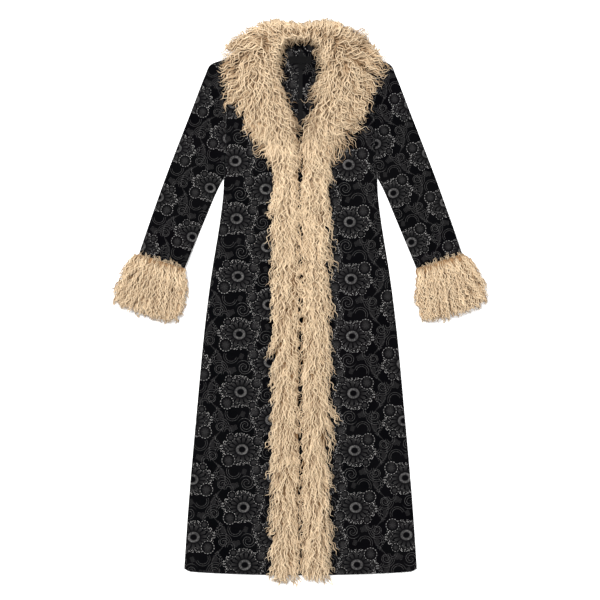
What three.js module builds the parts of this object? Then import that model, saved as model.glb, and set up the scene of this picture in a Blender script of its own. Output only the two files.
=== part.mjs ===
// A long afghan coat laid flat, face up: black flowered cloth with shaggy fur at the collar, down both
// front edges and round both cuffs. Millimetres, +Z up, +Y towards the collar. The origin is the middle of
// the coat's footprint, on the surface that it lies on.
//
// The layers, from the surface up: the collar's back fall, the back panels, the bound centre-back seam and
// the labels, the front panels, and then the fur collar and the fur front trims. Each sleeve is a flattened
// tube, and each fur cuff is a thicker tube at its end.
import * as THREE from "three";

// ---- Driving dimensions ----
const CLOTH = 1.4; // thickness of the coat cloth
const SEAM_GAP = 0.3; // what is left between two pieces at a seam
const ARMHOLE_GAP = 0.6; // the same along the curved armhole seam
const FUR_GAP = 0.7; // between a fur piece and the cloth under it
const LOFT = 3; // most air between the front and the back, or inside a flattened sleeve
const LOFT_FROM_SIDE = 45; // the air is at its most this far in from the side seam
const LOFT_FROM_TOP = 60; // and this far below the shoulder seam
const UNDER_TRIM = { share: 0.55, inner: 60, outer: 140 }; // share of it under the trim, and where it eases

const HEM_Y = -685; // hem at the centre
const HEM_SIDE_RISE = 10; // how much higher the hem is at the side seams
const HEM_CORNER = 6; // how far the rounded hem corner is cut up
const HEM_CORNER_FROM = 0.955; // share of the half width where that corner starts
const FRONT_EDGE = 1; // from the centre line to each front's edge
const BACK_EDGE = 0.15; // from the centre line to each back's edge

const NECK = { x: 82, y: 658 }; // where the shoulder seam meets the neckline
const BACK_NECK_DROP = 10; // from there down to the neckline at the centre back
const SHOULDER_TIP = { x: 196, y: 602 };
const UNDERARM_Y = 307;
const ARMHOLE_HOLLOW = 9; // how far the armhole seam bows towards the body

// The body's half width at each level of the side seam.
const BODY = [
  { level: "hem", y: -690, half: 292 },
  { level: "calf", y: -493, half: 278.5 },
  { level: "knee", y: -283, half: 260 },
  { level: "thigh", y: -72, half: 240 },
  { level: "hip", y: 63, half: 223 },
  { level: "high hip", y: 183, half: 203.5 },
  { level: "waist", y: 262, half: 193.5 },
  { level: "underarm", y: UNDERARM_Y, half: 191.5 },
];

// Half the neck opening that is left between the two fronts, which the collar covers.
const NECKLINE = [
  { y: 392, half: FRONT_EDGE },
  { y: 440, half: 24 },
  { y: 520, half: 45 },
  { y: 600, half: 66 },
  { y: NECK.y, half: NECK.x },
];

// The sleeve's sections: where each one meets the outer fold and the inner fold.
const SLEEVE = [
  { section: "armhole", outerX: SHOULDER_TIP.x, outerY: SHOULDER_TIP.y, innerX: 191.5, innerY: UNDERARM_Y },
  { section: "cap", outerX: 225, outerY: 590, innerX: 192.6, innerY: 304.5 },
  { section: "sleeve head", outerX: 239, outerY: 562, innerX: 195, innerY: 301 },
  { section: "biceps", outerX: 270, outerY: 482, innerX: 201, innerY: 290 },
  { section: "upper arm", outerX: 302, outerY: 400, innerX: 214, innerY: 263 },
  { section: "elbow", outerX: 340, outerY: 301, innerX: 239, innerY: 203 },
  { section: "forearm", outerX: 370, outerY: 216, innerX: 264, innerY: 143 },
  { section: "cuff seam", outerX: 403, outerY: 118, innerX: 289, innerY: 82 },
];
const LENS = 0.8; // power of the sine that the hollow of a sleeve or a cuff follows; under 1 is fuller
const CUFF_LIFT = 6.5; // the fur under the cuff lifts the sleeve's end by this much
const CUFF_LIFT_REACH = 0.26; // over this share of the sleeve's length

// The fur cuff at distances from the seam: how far its hair reaches to the arm's outer and its inner side.
const CUFF = [
  { along: 0.5, outer: 73, inner: 64 },
  { along: 12, outer: 85, inner: 72 },
  { along: 45, outer: 90, inner: 81 },
  { along: 85, outer: 93, inner: 85 },
  { along: 112, outer: 91, inner: 85 },
  { along: 131, outer: 82, inner: 80 },
  { along: 143, outer: 56, inner: 56 },
];
const CUFF_HEIGHT = 30; // above the surface
const WRIST_HALF = 55; // half the flattened hand opening

// The fur collar, from the centre back round to its lower end: its inner and its outer edge, with the hair.
const COLLAR = [
  { section: "centre back", innerX: 0.2, innerY: 641, outerX: 0.2, outerY: 690 },
  { section: "back neck", innerX: 21, innerY: 641, outerX: 40, outerY: 697 },
  { section: "neck side", innerX: 36, innerY: 635, outerX: 76, outerY: 702 },
  { section: "roll", innerX: 44, innerY: 618, outerX: 114, outerY: 691 },
  { section: "shoulder seam", innerX: 46, innerY: 599, outerX: 153, outerY: 671 },
  { section: "shoulder", innerX: 45, innerY: 582, outerX: 186, outerY: 645 },
  { section: "shoulder tip", innerX: 43, innerY: 565, outerX: 206, outerY: 610 },
  { section: "upper chest", innerX: 40, innerY: 548, outerX: 204, outerY: 577 },
  { section: "chest", innerX: 34, innerY: 528, outerX: 193, outerY: 544 },
  { section: "chest point", innerX: 27, innerY: 507, outerX: 187, outerY: 511 },
  { section: "lapel corner", innerX: 20, innerY: 485, outerX: 175, outerY: 480 },
  { section: "lower lapel", innerX: 15, innerY: 463, outerX: 150, outerY: 454 },
  { section: "bust", innerX: 11, innerY: 442, outerX: 129, outerY: 428 },
  { section: "break", innerX: 5, innerY: 422, outerX: 112, outerY: 402 },
  { section: "meeting", innerX: 2, innerY: 404, outerX: 97, outerY: 382 },
  { section: "lower end", innerX: 1.5, innerY: 386, outerX: 82, outerY: 368 },
];
const COLLAR_HEIGHT = 40; // at its crown, which is this share of the way out from the inner edge
const COLLAR_CROWN = 0.3;
const COLLAR_LENGTH = 620; // along the middle of one half
const COLLAR_EDGE = 5; // least thickness of its fur

// The part of the collar that folds over behind the neck and is lain on.
const FALL_DEPTH = 7;
const FALL_HALF = 170; // half its width
const FALL_EDGE_Y = 572; // its lower edge at the centre back
const FALL_EDGE_RISE = 60; // how much higher that edge is at its ends
const FALL_CLEAR = 0.8; // between the fall and the cloth on it
const FALL_SET_BACK = 2; // from the collar's outline to the fall's upper edge
const LIFT_INNER = 60; // the cloth over the fall is level to here, and lies on the surface beyond LIFT_OUTER
const LIFT_OUTER = 250;
const LIFT_BELOW = 100; // the cloth starts to rise this far below the fall's edge
const LIFT_RAMP = 130;
const SEAM_OVERHANG = 20; // fur stays level this far past the shoulder seam, and then drops over DROP_LENGTH
const DROP_LENGTH = 30;

// The fur trim on each front edge.
const TRIM = { inner: 1.5, outer: 79, bottom: -702 };
const TRIM_HEIGHT = 29;
const TRIM_EDGE = 3; // least thickness of its fur
const TRIM_END_ROUND = 30; // how far its lower corners are cut up
const TRIM_END_SLOPE = 40; // its lower end slopes down over this length

const BINDING = { half: 5.2, thick: 0.8, bottom: -670, top: 622 };

// Blank woven labels that lie across the bound seam, below the neck.
const LABELS = [
  { name: "neck_label", left: -28, right: 28, bottom: 592, top: 610 },
  { name: "size_tab", left: -4, right: 12, bottom: 577, top: 591.4 },
];
const LABEL_THICK = 0.6;

// Locks of fur, as ridges with a raised tip, on every fur piece; they notch its edge by up to `edge`.
const LOCK = { length: 46, width: 24, depth: 7, edge: 7 };
const LOCK_CREST = 0.8; // share of a lock's length from its root to its highest point

const COLOURS = {
  cloth: { color: 0x1c1c1f, roughness: 0.9, metalness: 0 },
  fur: { color: 0xcbb08d, roughness: 0.85, metalness: 0 },
  binding: { color: 0x18181a, roughness: 0.7, metalness: 0 },
};

// ---- Small mathematics ----
const clamp01 = (t) => Math.min(1, Math.max(0, t));
const smooth = (t) => {
  const c = clamp01(t);
  return c * c * (3 - 2 * c);
};
const mix = (a, b, t) => a + (b - a) * t;
const steps = (n) => Array.from({ length: n + 1 }, (_, i) => i / n);

/** The column `value` of a table at `at` in its column `key`, along a smooth curve through the rows. */
function readTable(rows, key, value, at) {
  const last = rows.length - 1;
  let i = 0;
  while (i < last - 1 && at > rows[i + 1][key]) i += 1;
  const slope = (k) => {
    const a = rows[Math.max(k - 1, 0)];
    const b = rows[Math.min(k + 1, last)];
    return (b[value] - a[value]) / (b[key] - a[key]);
  };
  const span = rows[i + 1][key] - rows[i][key];
  const t = clamp01((at - rows[i][key]) / span);
  const rise = rows[i + 1][value] - rows[i][value];
  const start = slope(i) * span;
  const end = slope(i + 1) * span;
  return rows[i][value] + t * (start + t * (3 * rise - 2 * start - end + t * (start + end - 2 * rise)));
}

/** A smooth curve through two columns of a table, read by a share of its length in rows. */
function edgeCurve(rows, xColumn, yColumn) {
  const curve = new THREE.CatmullRomCurve3(rows.map((r) => new THREE.Vector3(r[xColumn], r[yColumn], 0)));
  return (share) => curve.getPoint(clamp01(share));
}

// ---- The coat's outline, for x of 0 or more; the left side mirrors it ----
const halfWidth = (y) => {
  if (y <= UNDERARM_Y) return readTable(BODY, "y", "half", y);
  const up = clamp01((y - UNDERARM_Y) / (SHOULDER_TIP.y - UNDERARM_Y));
  return mix(BODY.at(-1).half, SHOULDER_TIP.x, up) - ARMHOLE_HOLLOW * Math.sin(Math.PI * up);
};
const neckline = (y) => {
  if (y <= NECKLINE[0].y) return FRONT_EDGE;
  return readTable(NECKLINE, "y", "half", Math.min(y, NECK.y));
};
const hemLine = (u) => {
  const corner = smooth((u - HEM_CORNER_FROM) / (1 - HEM_CORNER_FROM));
  return HEM_Y + HEM_SIDE_RISE * u * u + HEM_CORNER * corner;
};
const shoulderLine = (x) =>
  x < NECK.x
    ? NECK.y - BACK_NECK_DROP * (1 - (x / NECK.x) ** 2)
    : mix(NECK.y, SHOULDER_TIP.y, (x - NECK.x) / (SHOULDER_TIP.x - NECK.x));

// ---- Heights of the layers over the surface ----
const fallEdge = (x) => FALL_EDGE_Y + FALL_EDGE_RISE * (x / FALL_HALF) ** 2;

/** How far the collar's back fall lifts the cloth: a ramp across the back times a ramp up it. */
const lift = (x, y) =>
  FALL_DEPTH *
  smooth((LIFT_OUTER - Math.abs(x)) / (LIFT_OUTER - LIFT_INNER)) *
  smooth((y - fallEdge(x) + LIFT_BELOW) / LIFT_RAMP);

/** 1 over the cloth of the shoulders, easing to 0 past their seam. */
const overShoulder = (x, y) => 1 - smooth((y - shoulderLine(Math.abs(x)) - SEAM_OVERHANG) / DROP_LENGTH);

/** The air between front and back. It closes at the side and shoulder seams, and is low under the trim. */
function bodyGap(x, y) {
  const up = clamp01((y - UNDERARM_Y) / (SHOULDER_TIP.y - UNDERARM_Y));
  const side = Math.max(smooth((halfWidth(y) - x) / LOFT_FROM_SIDE), Math.sin(Math.PI * up));
  const top = smooth((shoulderLine(x) - y) / LOFT_FROM_TOP);
  const clearOfTrim = smooth((x - UNDER_TRIM.inner) / (UNDER_TRIM.outer - UNDER_TRIM.inner));
  return SEAM_GAP + side * top * (LOFT - SEAM_GAP) * mix(UNDER_TRIM.share, 1, clearOfTrim);
}

/** The top of the cloth that the collar and the trims lie on. Past the shoulder seam it drops to the fall. */
const stackTop = (x, y) =>
  lift(x, y) + (2 * CLOTH + bodyGap(Math.min(x, halfWidth(y)), y)) * overShoulder(x, y);

// ---- Meshes ----
/** A closed mesh from corners and triangles, which are all turned round if they enclose a negative volume. */
function solid(corners, triangles) {
  const at = (k) => new THREE.Vector3(...corners[k]);
  const volume = triangles.reduce((sum, [a, b, c]) => sum + at(a).dot(at(b).cross(at(c))), 0);
  const outward = volume > 0 ? triangles : triangles.map(([a, b, c]) => [a, c, b]);
  const geometry = new THREE.BufferGeometry();
  geometry.setAttribute("position", new THREE.Float32BufferAttribute(corners.flat(), 3));
  geometry.setIndex(outward.flat());
  geometry.computeVertexNormals();
  return geometry;
}

/**
 * A pad or a panel: an upper and a lower sheet over the same shares v, along it, joined by walls. Each sheet
 * has its own shares u, across it, from 0 to 1. upper and lower give the point at (u, v).
 */
function pad({ alongs, upperShares, lowerShares, upper, lower }) {
  const points = [];
  const triangles = [];
  const sheet = (shares, at) =>
    alongs.map((v) =>
      shares.map((u) => {
        points.push(at(u, v));
        return points.length - 1;
      }),
    );
  const top = sheet(upperShares, upper);
  const bottom = sheet(lowerShares, lower);
  const quad = (a, b, c, d) => triangles.push([a, b, c], [a, c, d]);
  const skin = (rows, facesUp) => {
    for (let j = 0; j + 1 < rows.length; j += 1)
      for (let i = 0; i + 1 < rows[j].length; i += 1) {
        const corners = [rows[j][i], rows[j][i + 1], rows[j + 1][i + 1], rows[j + 1][i]];
        quad(...(facesUp ? corners : corners.reverse()));
      }
  };
  skin(top, true);
  skin(bottom, false);
  for (let j = 0; j + 1 < alongs.length; j += 1) {
    quad(bottom[j][0], top[j][0], top[j + 1][0], bottom[j + 1][0]);
    quad(top[j].at(-1), bottom[j].at(-1), bottom[j + 1].at(-1), top[j + 1].at(-1));
  }
  // An end wall joins two rows with different numbers of points, taking the next point of whichever lags.
  const endWall = (high, low, atStart) => {
    let i = 0;
    let k = 0;
    while (i + 1 < high.length || k + 1 < low.length) {
      const highIsNext = i + 1 < high.length && upperShares[i + 1] <= lowerShares[k + 1];
      const takeHigh = k + 1 >= low.length || highIsNext;
      const corners = takeHigh ? [low[k], high[i + 1], high[i]] : [low[k], low[k + 1], high[i]];
      triangles.push(atStart ? corners : corners.reverse());
      if (takeHigh) i += 1;
      else k += 1;
    }
  };
  endWall(top[0], bottom[0], true);
  endWall(top.at(-1), bottom.at(-1), false);
  return solid(points, triangles);
}

/** A walled tube: rings of points round the outside and the inside at each share t, closed at both ends. */
function tube(alongs, outerRing, innerRing) {
  const outer = alongs.map(outerRing);
  const inner = alongs.map(innerRing);
  const count = outer[0].length;
  const points = [...outer.flat(), ...inner.flat()];
  const triangles = [];
  const insideFrom = outer.length * count;
  const out = (j, i) => j * count + (i % count);
  const inn = (j, i) => insideFrom + j * count + (i % count);
  const quad = (a, b, c, d) => triangles.push([a, b, c], [a, c, d]);
  const last = alongs.length - 1;
  for (let i = 0; i < count; i += 1) {
    for (let j = 0; j < last; j += 1) {
      quad(out(j, i), out(j + 1, i), out(j + 1, i + 1), out(j, i + 1));
      quad(inn(j, i), inn(j, i + 1), inn(j + 1, i + 1), inn(j + 1, i));
    }
    quad(out(0, i), out(0, i + 1), inn(0, i + 1), inn(0, i));
    quad(out(last, i), inn(last, i), inn(last, i + 1), out(last, i + 1));
  }
  return solid(points, triangles);
}

/** The mirror image across the centre line. */
function mirrored(geometry) {
  const place = geometry.getAttribute("position");
  const index = [...geometry.getIndex().array];
  const corner = (k) => [-place.getX(k), place.getY(k), place.getZ(k)];
  const corners = Array.from({ length: place.count }, (_, k) => corner(k));
  const triangles = index.flatMap((a, k) => (k % 3 ? [] : [[a, index[k + 1], index[k + 2]]]));
  return solid(corners, triangles);
}

// ---- Cloth ----
// Shares across and along a body panel: closer together at the side seam and above the waist.
const WAIST_SHARE = 0.72;
const PANEL_ACROSS = [0, 0.18, 0.36, 0.55, 0.74, 0.9, 0.97, 1];
const BELOW_WAIST = steps(12).map((t) => WAIST_SHARE * t);
const ABOVE_WAIST = steps(14).map((t) => mix(WAIST_SHARE, 1, t));
const PANEL_ALONG = [...BELOW_WAIST, ...ABOVE_WAIST.slice(1)];

/** A sheet of cloth or tape: place gives x and y at (u, v), and base the height of its underside. */
function sheetOn(place, across, alongs, base, thick) {
  const at = (extra) => (u, v) => {
    const [x, y] = place(u, v);
    return [x, y, base(x, y) + extra];
  };
  return pad({ alongs, upperShares: across, lowerShares: across, upper: at(thick), lower: at(0) });
}

/** A body panel from its front or centre-back edge (u 0) to the side seam (u 1), and from hem to shoulder. */
function bodyPanel(edge, topY, base) {
  const place = (u, v) => {
    const y = mix(hemLine(u), topY(u), v);
    const start = edge(y);
    return [mix(start, halfWidth(y), u), y];
  };
  return sheetOn(place, PANEL_ACROSS, PANEL_ALONG, base, CLOTH);
}

function backPanel() {
  const topY = (u) => shoulderLine(mix(BACK_EDGE, SHOULDER_TIP.x, u));
  return bodyPanel(() => BACK_EDGE, topY, lift);
}

function frontPanel() {
  const topY = (u) => shoulderLine(mix(NECK.x, SHOULDER_TIP.x, u));
  return bodyPanel(neckline, topY, (x, y) => lift(x, y) + CLOTH + bodyGap(x, y));
}

/** A rectangle for sheetOn. */
const rectangle = ({ left, right, bottom, top }) => (u, v) => [mix(left, right, u), mix(bottom, top, v)];

/** The bound seam inside the centre back, lying on both back panels. */
function seamBinding() {
  const place = rectangle({ ...BINDING, left: -BINDING.half, right: BINDING.half });
  const base = (x, y) => lift(x, y) + CLOTH + SEAM_GAP;
  return sheetOn(place, [0, 1], [0, WAIST_SHARE / 2, ...ABOVE_WAIST], base, BINDING.thick);
}

/** A blank woven label, lying across the bound seam. */
function label(edges) {
  const base = (x, y) => lift(x, y) + CLOTH + BINDING.thick + 2 * SEAM_GAP;
  return sheetOn(rectangle(edges), steps(3), steps(3), base, LABEL_THICK);
}

const sleeveOuter = edgeCurve(SLEEVE, "outerX", "outerY");
const sleeveInner = edgeCurve(SLEEVE, "innerX", "innerY");

/** The point w of the way across the sleeve from its outer to its inner fold, t of the way down it. */
function sleevePlace(w, t) {
  const point = sleeveOuter(t).lerp(sleeveInner(t), w);
  const armhole = halfWidth(mix(SHOULDER_TIP.y, UNDERARM_Y, w)) + ARMHOLE_GAP;
  const straight = mix(SLEEVE[0].outerX, SLEEVE[0].innerX, w);
  const fade = (1 - t) ** 6;
  return [point.x + (armhole - straight) * fade, point.y];
}

const cuffLift = (t) => CUFF_LIFT * smooth((t - 1 + CUFF_LIFT_REACH) / CUFF_LIFT_REACH);
const sleeveGap = (w) => mix(SEAM_GAP, LOFT, Math.max(0, Math.sin(Math.PI * w)) ** LENS);

/**
 * One ring of the flattened sleeve, `inset` inside its outer face: along the bottom, round a fold, back along
 * the top and round the other fold.
 */
function sleeveRing(t, inset) {
  const width = sleeveOuter(t).distanceTo(sleeveInner(t));
  const shares = steps(6).map((s) => 0.5 - 0.5 * Math.cos(Math.PI * s));
  const middle = CLOTH + SEAM_GAP / 2;
  const edge = inset / width;
  const fold = (middle - inset) / width;
  const at = (w, level) => {
    const [x, y] = sleevePlace(w, t);
    return [x, y, lift(x, y) + cuffLift(t) + level];
  };
  const inside = (s) => mix(edge, 1 - edge, s);
  const bottom = shares.map((s) => at(inside(s), inset));
  const top = shares.map((s) => at(inside(s), 2 * CLOTH + sleeveGap(s) - inset)).reverse();
  return [...bottom, at(1 - edge + fold, middle), ...top, at(edge - fold, middle)];
}

function sleeve() {
  const alongs = [0, 0.04, 0.09, 0.16, 0.25, 0.36, 0.48, 0.6, 0.7, 0.78, 0.86, 0.93, 1];
  return tube(
    alongs,
    (t) => sleeveRing(t, 0),
    (t) => sleeveRing(t, CLOTH),
  );
}

// ---- Fur ----
/**
 * Locks of fur, 0 to 1, at a place p down the hair and q across it: each is a rounded ridge that rises to its
 * crest. Every other column of locks is half a lock further down, and the sine shifts them unevenly.
 */
function locks(p, q) {
  const column = Math.floor(q / LOCK.width);
  const down = p / LOCK.length + (column % 2) / 2 + 0.17 * Math.sin(column * 2.3);
  const rise = down - Math.floor(down);
  const crest = rise < LOCK_CREST ? rise / LOCK_CREST : (1 - rise) / (1 - LOCK_CREST);
  return mix(0.25, 1, crest) * Math.abs(Math.sin((Math.PI * q) / LOCK.width));
}

/** How far the locks notch the edge of a fur piece, at a distance p along it. */
const edgeNotch = (p) => LOCK.edge * (1 - locks(p, LOCK.width / 2));

/** A dome across a strip of fur: 0 at its edges and 1 at the share `crown`. */
const dome = (u, crown) => {
  const t = u < crown ? 1 - u / crown : (u - crown) / (1 - crown);
  return Math.sqrt(Math.max(0, 1 - t ** 2.6));
};

const collarInner = edgeCurve(COLLAR, "innerX", "innerY");
const collarOuter = edgeCurve(COLLAR, "outerX", "outerY");

/** Half the collar: v runs from the centre back to its lower end, and u from its inner to its outer edge. */
function collarHalf() {
  const place = (u, v) => {
    const outer = collarOuter(v);
    const inner = collarInner(v);
    const fade = smooth(v / 0.08) * smooth((1 - v) / 0.11);
    const cut = (edgeNotch(v * COLLAR_LENGTH) * fade) / inner.distanceTo(outer);
    const p = inner.lerp(outer, u * (1 - cut));
    return [p.x, p.y];
  };
  const lower = (u, v) => {
    const [x, y] = place(u, v);
    return [x, y, stackTop(x, y) + FUR_GAP];
  };
  const upper = (u, v) => {
    const [x, y, z] = lower(u, v);
    const width = collarInner(v).distanceTo(collarOuter(v));
    const outward = 1 - 0.45 * smooth((u - 0.35) / 0.65);
    const endward = 1 - 0.3 * smooth((v - 0.85) / 0.15);
    const high = COLLAR_HEIGHT * dome(u, COLLAR_CROWN) * outward * endward;
    const ripple = LOCK.depth * (locks(u * width, v * COLLAR_LENGTH) - 0.5) * dome(u, 0.5);
    return [x, y, z + Math.max(COLLAR_EDGE, high + ripple)];
  };
  return pad({ alongs: steps(40), upperShares: steps(10), lowerShares: steps(5), upper, lower });
}

/** The collar's back fall: v runs from its left to its right end, and u from its lower to its upper edge. */
function backFall() {
  const reach = steps(200).find((s) => collarOuter(s).x > FALL_HALF);
  const place = (u, v) => {
    const side = 2 * v - 1;
    const top = collarOuter(Math.abs(side) * reach);
    const x = Math.sign(side) * top.x;
    return [x, mix(fallEdge(x), top.y - FALL_SET_BACK, u)];
  };
  const upper = (u, v) => {
    const [x, y] = place(u, v);
    return [x, y, lift(x, y) - mix(SEAM_GAP, FALL_CLEAR, overShoulder(x, y))];
  };
  const lower = (u, v) => [...place(u, v), 0];
  return pad({ alongs: steps(20), upperShares: steps(7), lowerShares: steps(2), upper, lower });
}

/** The fur on one front edge: v runs from the collar to its lower end, u from its inner to its outer edge. */
function frontTrim() {
  const end = COLLAR.at(-1);
  const place = (u, v) => {
    const top = mix(end.innerY, end.outerY, u) - FUR_GAP;
    const bottom = TRIM.bottom + TRIM_END_ROUND * Math.abs(2 * u - 1) ** 3;
    const y = mix(top, bottom, v);
    const notch = edgeNotch(-y) * smooth((1 - v) / 0.05);
    return [mix(TRIM.inner, TRIM.outer - notch, u), y];
  };
  const lower = (u, v) => {
    const [x, y] = place(u, v);
    return [x, y, stackTop(x, y) + FUR_GAP];
  };
  const upper = (u, v) => {
    const [x, y, z] = lower(u, v);
    const toEnd = clamp01((y - TRIM.bottom) / TRIM_END_SLOPE);
    const slope = Math.sqrt(1 - (1 - toEnd) ** 2);
    const ripple = LOCK.depth * (locks(-y, u * (TRIM.outer - TRIM.inner)) - 0.5) * dome(u, 0.5);
    return [x, y, z + Math.max(TRIM_EDGE, (TRIM_HEIGHT * dome(u, 0.48) + ripple) * slope)];
  };
  return pad({ alongs: steps(66), upperShares: steps(8), lowerShares: steps(2), upper, lower });
}

/**
 * The fur cuff, a thick tube in line with the sleeve: a flat underside, a domed top, and a flat slit for the
 * hand. Its rings start at the arm's outer side and go over the top.
 */
function cuff() {
  const seamMiddle = sleeveOuter(1).lerp(sleeveInner(1), 0.5);
  const across = sleeveInner(1).sub(sleeveOuter(1)).normalize();
  const down = new THREE.Vector3(-across.y, across.x, 0);
  const wristLevel = CUFF_LIFT + CLOTH;
  const angles = steps(24).slice(0, -1).map((s) => 2 * Math.PI * s);
  const squared = (a) => -Math.sign(Math.cos(a)) * Math.abs(Math.cos(a)) ** LENS;
  const at = (along, sideways, z) => {
    const p = seamMiddle.clone().addScaledVector(down, along).addScaledVector(across, sideways);
    return [p.x, p.y, z];
  };
  const alongAt = (t) => mix(CUFF[0].along, CUFF.at(-1).along, t);
  const outerRing = (t) => {
    const along = alongAt(t);
    const outer = readTable(CUFF, "along", "outer", along);
    const inner = readTable(CUFF, "along", "inner", along);
    const ends = Math.sqrt(smooth(t * 5 + 0.35)) * (1 - 0.45 * smooth((t - 0.8) / 0.2));
    return angles.map((a) => {
      const s = Math.sin(a);
      const reach = Math.cos(a) > 0 ? outer : inner;
      const lock = locks(along, (2 * reach * a) / Math.PI);
      const ripple = LOCK.depth * (lock - 0.5) * s * s;
      const high = (CUFF_HEIGHT - wristLevel) * ends * Math.abs(s) ** 0.75 + ripple;
      const low = wristLevel * (1 - smooth(-2 * s));
      return at(along, squared(a) * (reach - 0.5 * LOCK.edge * (1 - lock)), s >= 0 ? wristLevel + high : low);
    });
  };
  const innerRing = (t) =>
    angles.map((a) => {
      const high = LOFT * Math.max(0, Math.sin(a)) ** LENS;
      return at(alongAt(t), squared(a) * WRIST_HALF, wristLevel + SEAM_GAP + high);
    });
  return tube(steps(11), outerRing, innerRing);
}

// ---- The coat ----
const coat = new THREE.Group();
function addPiece(name, geometry, finish) {
  const mesh = new THREE.Mesh(geometry, new THREE.MeshStandardMaterial(COLOURS[finish]));
  mesh.name = name;
  coat.add(mesh);
}

const PAIRS = [
  { name: "back", make: backPanel, finish: "cloth" },
  { name: "front", make: frontPanel, finish: "cloth" },
  { name: "sleeve", make: sleeve, finish: "cloth" },
  { name: "collar", make: collarHalf, finish: "fur" },
  { name: "front_trim", make: frontTrim, finish: "fur" },
  { name: "cuff", make: cuff, finish: "fur" },
];
for (const { name, make, finish } of PAIRS) {
  const right = make();
  addPiece(`${name}_right`, right, finish);
  addPiece(`${name}_left`, mirrored(right), finish);
}
addPiece("collar_back_fall", backFall(), "fur");
addPiece("back_seam_binding", seamBinding(), "binding");
for (const place of LABELS) addPiece(place.name, label(place), "binding");

export default coat;
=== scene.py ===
"""A long afghan coat laid flat, face up: black flowered cloth with a curly fur collar, front edges and cuffs.

The tables and formulas of the coat are in millimetres, with X to the right, Y towards the collar and Z up
from the surface that the coat lies on. Every mesh is written in metres in the same frame. The right half of
the coat is worked out, and the left half is its mirror image, except for the hair, which grows afresh.
"""

import math
from functools import partialmethod, reduce

import bpy
import numpy as np
from bpy.props import FloatProperty, FloatVectorProperty, PointerProperty
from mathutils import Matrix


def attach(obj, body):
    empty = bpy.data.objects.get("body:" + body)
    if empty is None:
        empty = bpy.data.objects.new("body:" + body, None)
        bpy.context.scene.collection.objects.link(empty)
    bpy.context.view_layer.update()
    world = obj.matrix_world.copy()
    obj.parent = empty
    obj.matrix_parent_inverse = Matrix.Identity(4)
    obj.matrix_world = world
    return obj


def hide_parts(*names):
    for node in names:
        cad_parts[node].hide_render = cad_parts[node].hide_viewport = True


bl_info = {
    "name": "Afghan Coat",
    "version": (1, 0, 0),
    "blender": (4, 5, 0),
    "location": "3D View > Sidebar > Coat",
    "description": "Builds a laid-flat afghan coat with flowered cloth and curly fur",
    "category": "Object",
}

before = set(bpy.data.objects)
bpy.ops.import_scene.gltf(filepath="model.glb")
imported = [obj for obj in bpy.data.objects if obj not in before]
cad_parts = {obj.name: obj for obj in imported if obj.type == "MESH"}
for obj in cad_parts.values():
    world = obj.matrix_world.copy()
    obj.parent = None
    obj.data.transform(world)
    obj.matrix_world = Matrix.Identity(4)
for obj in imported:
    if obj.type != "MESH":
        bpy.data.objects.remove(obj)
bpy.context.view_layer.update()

# ---- The coat's measures, in millimetres ----
CLOTH = 1.4
LOFT = 3.0
SEAM_GAP = 0.3
ARMHOLE_GAP = 0.6
FUR_GAP = 0.7
HEM_Y = -685.0
NECK = (82.0, 658.0)
SHOULDER_TIP = (196.0, 602.0)
UNDERARM = (191.5, 307.0)
PANEL_SIZE = (290, 1340)
ARMHOLE_BOW = 9

# Level of the side seam and half the body's width there.
BODY = [
    (-690, 292), (-493, 278.5), (-283, 260), (-72, 240), (63, 223), (183, 203.5), (262, 193.5), (307, 191.5),
]
# Level of the neckline and half the opening between the two fronts there.
NECKLINE = [(392, 1), (440, 24), (520, 45), (600, 66), (658, 82)]
# Sections of the sleeve from the armhole to the cuff seam: its outer fold and its inner fold.
SLEEVE_OUTER = [
    (196, 602), (225, 590), (239, 562), (270, 482), (302, 400), (340, 301), (370, 216), (403, 118),
]
SLEEVE_INNER = [
    (191.5, 307), (192.6, 304.5), (195, 301), (201, 290), (214, 263), (239, 203), (264, 143), (289, 82),
]
# The collar from the centre back round to its lower end: its inner and its outer edge.
COLLAR_INNER = [
    (0.2, 641), (21, 641), (36, 635), (44, 618), (46, 599), (45, 582), (43, 565), (40, 548),
    (34, 528), (27, 507), (20, 485), (15, 463), (11, 442), (5, 422), (2, 404), (1.5, 386),
]
COLLAR_OUTER = [
    (0.2, 690), (40, 697), (76, 702), (114, 691), (153, 671), (186, 645), (206, 610), (204, 577),
    (193, 544), (187, 511), (175, 480), (150, 454), (129, 428), (112, 402), (97, 382), (82, 368),
]
TRIM_INNER, TRIM_OUTER, TRIM_BOTTOM = 1.5, 79.0, -702.0
# Distance from the cuff seam, and how far the fur reaches there to the arm's outer and inner side.
CUFF_OUTER = [(0.5, 73), (12, 85), (45, 90), (85, 93), (112, 91), (131, 82), (143, 56)]
CUFF_INNER = [(0.5, 64), (12, 72), (45, 81), (85, 85), (112, 85), (131, 80), (143, 56)]
CUFF_START, CUFF_END = 0.5, 143.0
# Full thickness of the fur, and how far fur lifts the end of the sleeve and the cloth behind the neck.
COLLAR_HIGH, TRIM_HIGH, CUFF_HIGH = 40, 29, 22.1
WRIST_LIFT, FALL_LIFT = 6.5, 7
WRIST_LEVEL = 7.9
PELT_WALL = 2.2
# Share of the collar's outer edge, from the centre back, that folds over behind the neck.
FALL_REACH = 5.0 / 15
TAPE_WALL, LABEL_WALL = 0.8, 0.6

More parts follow.
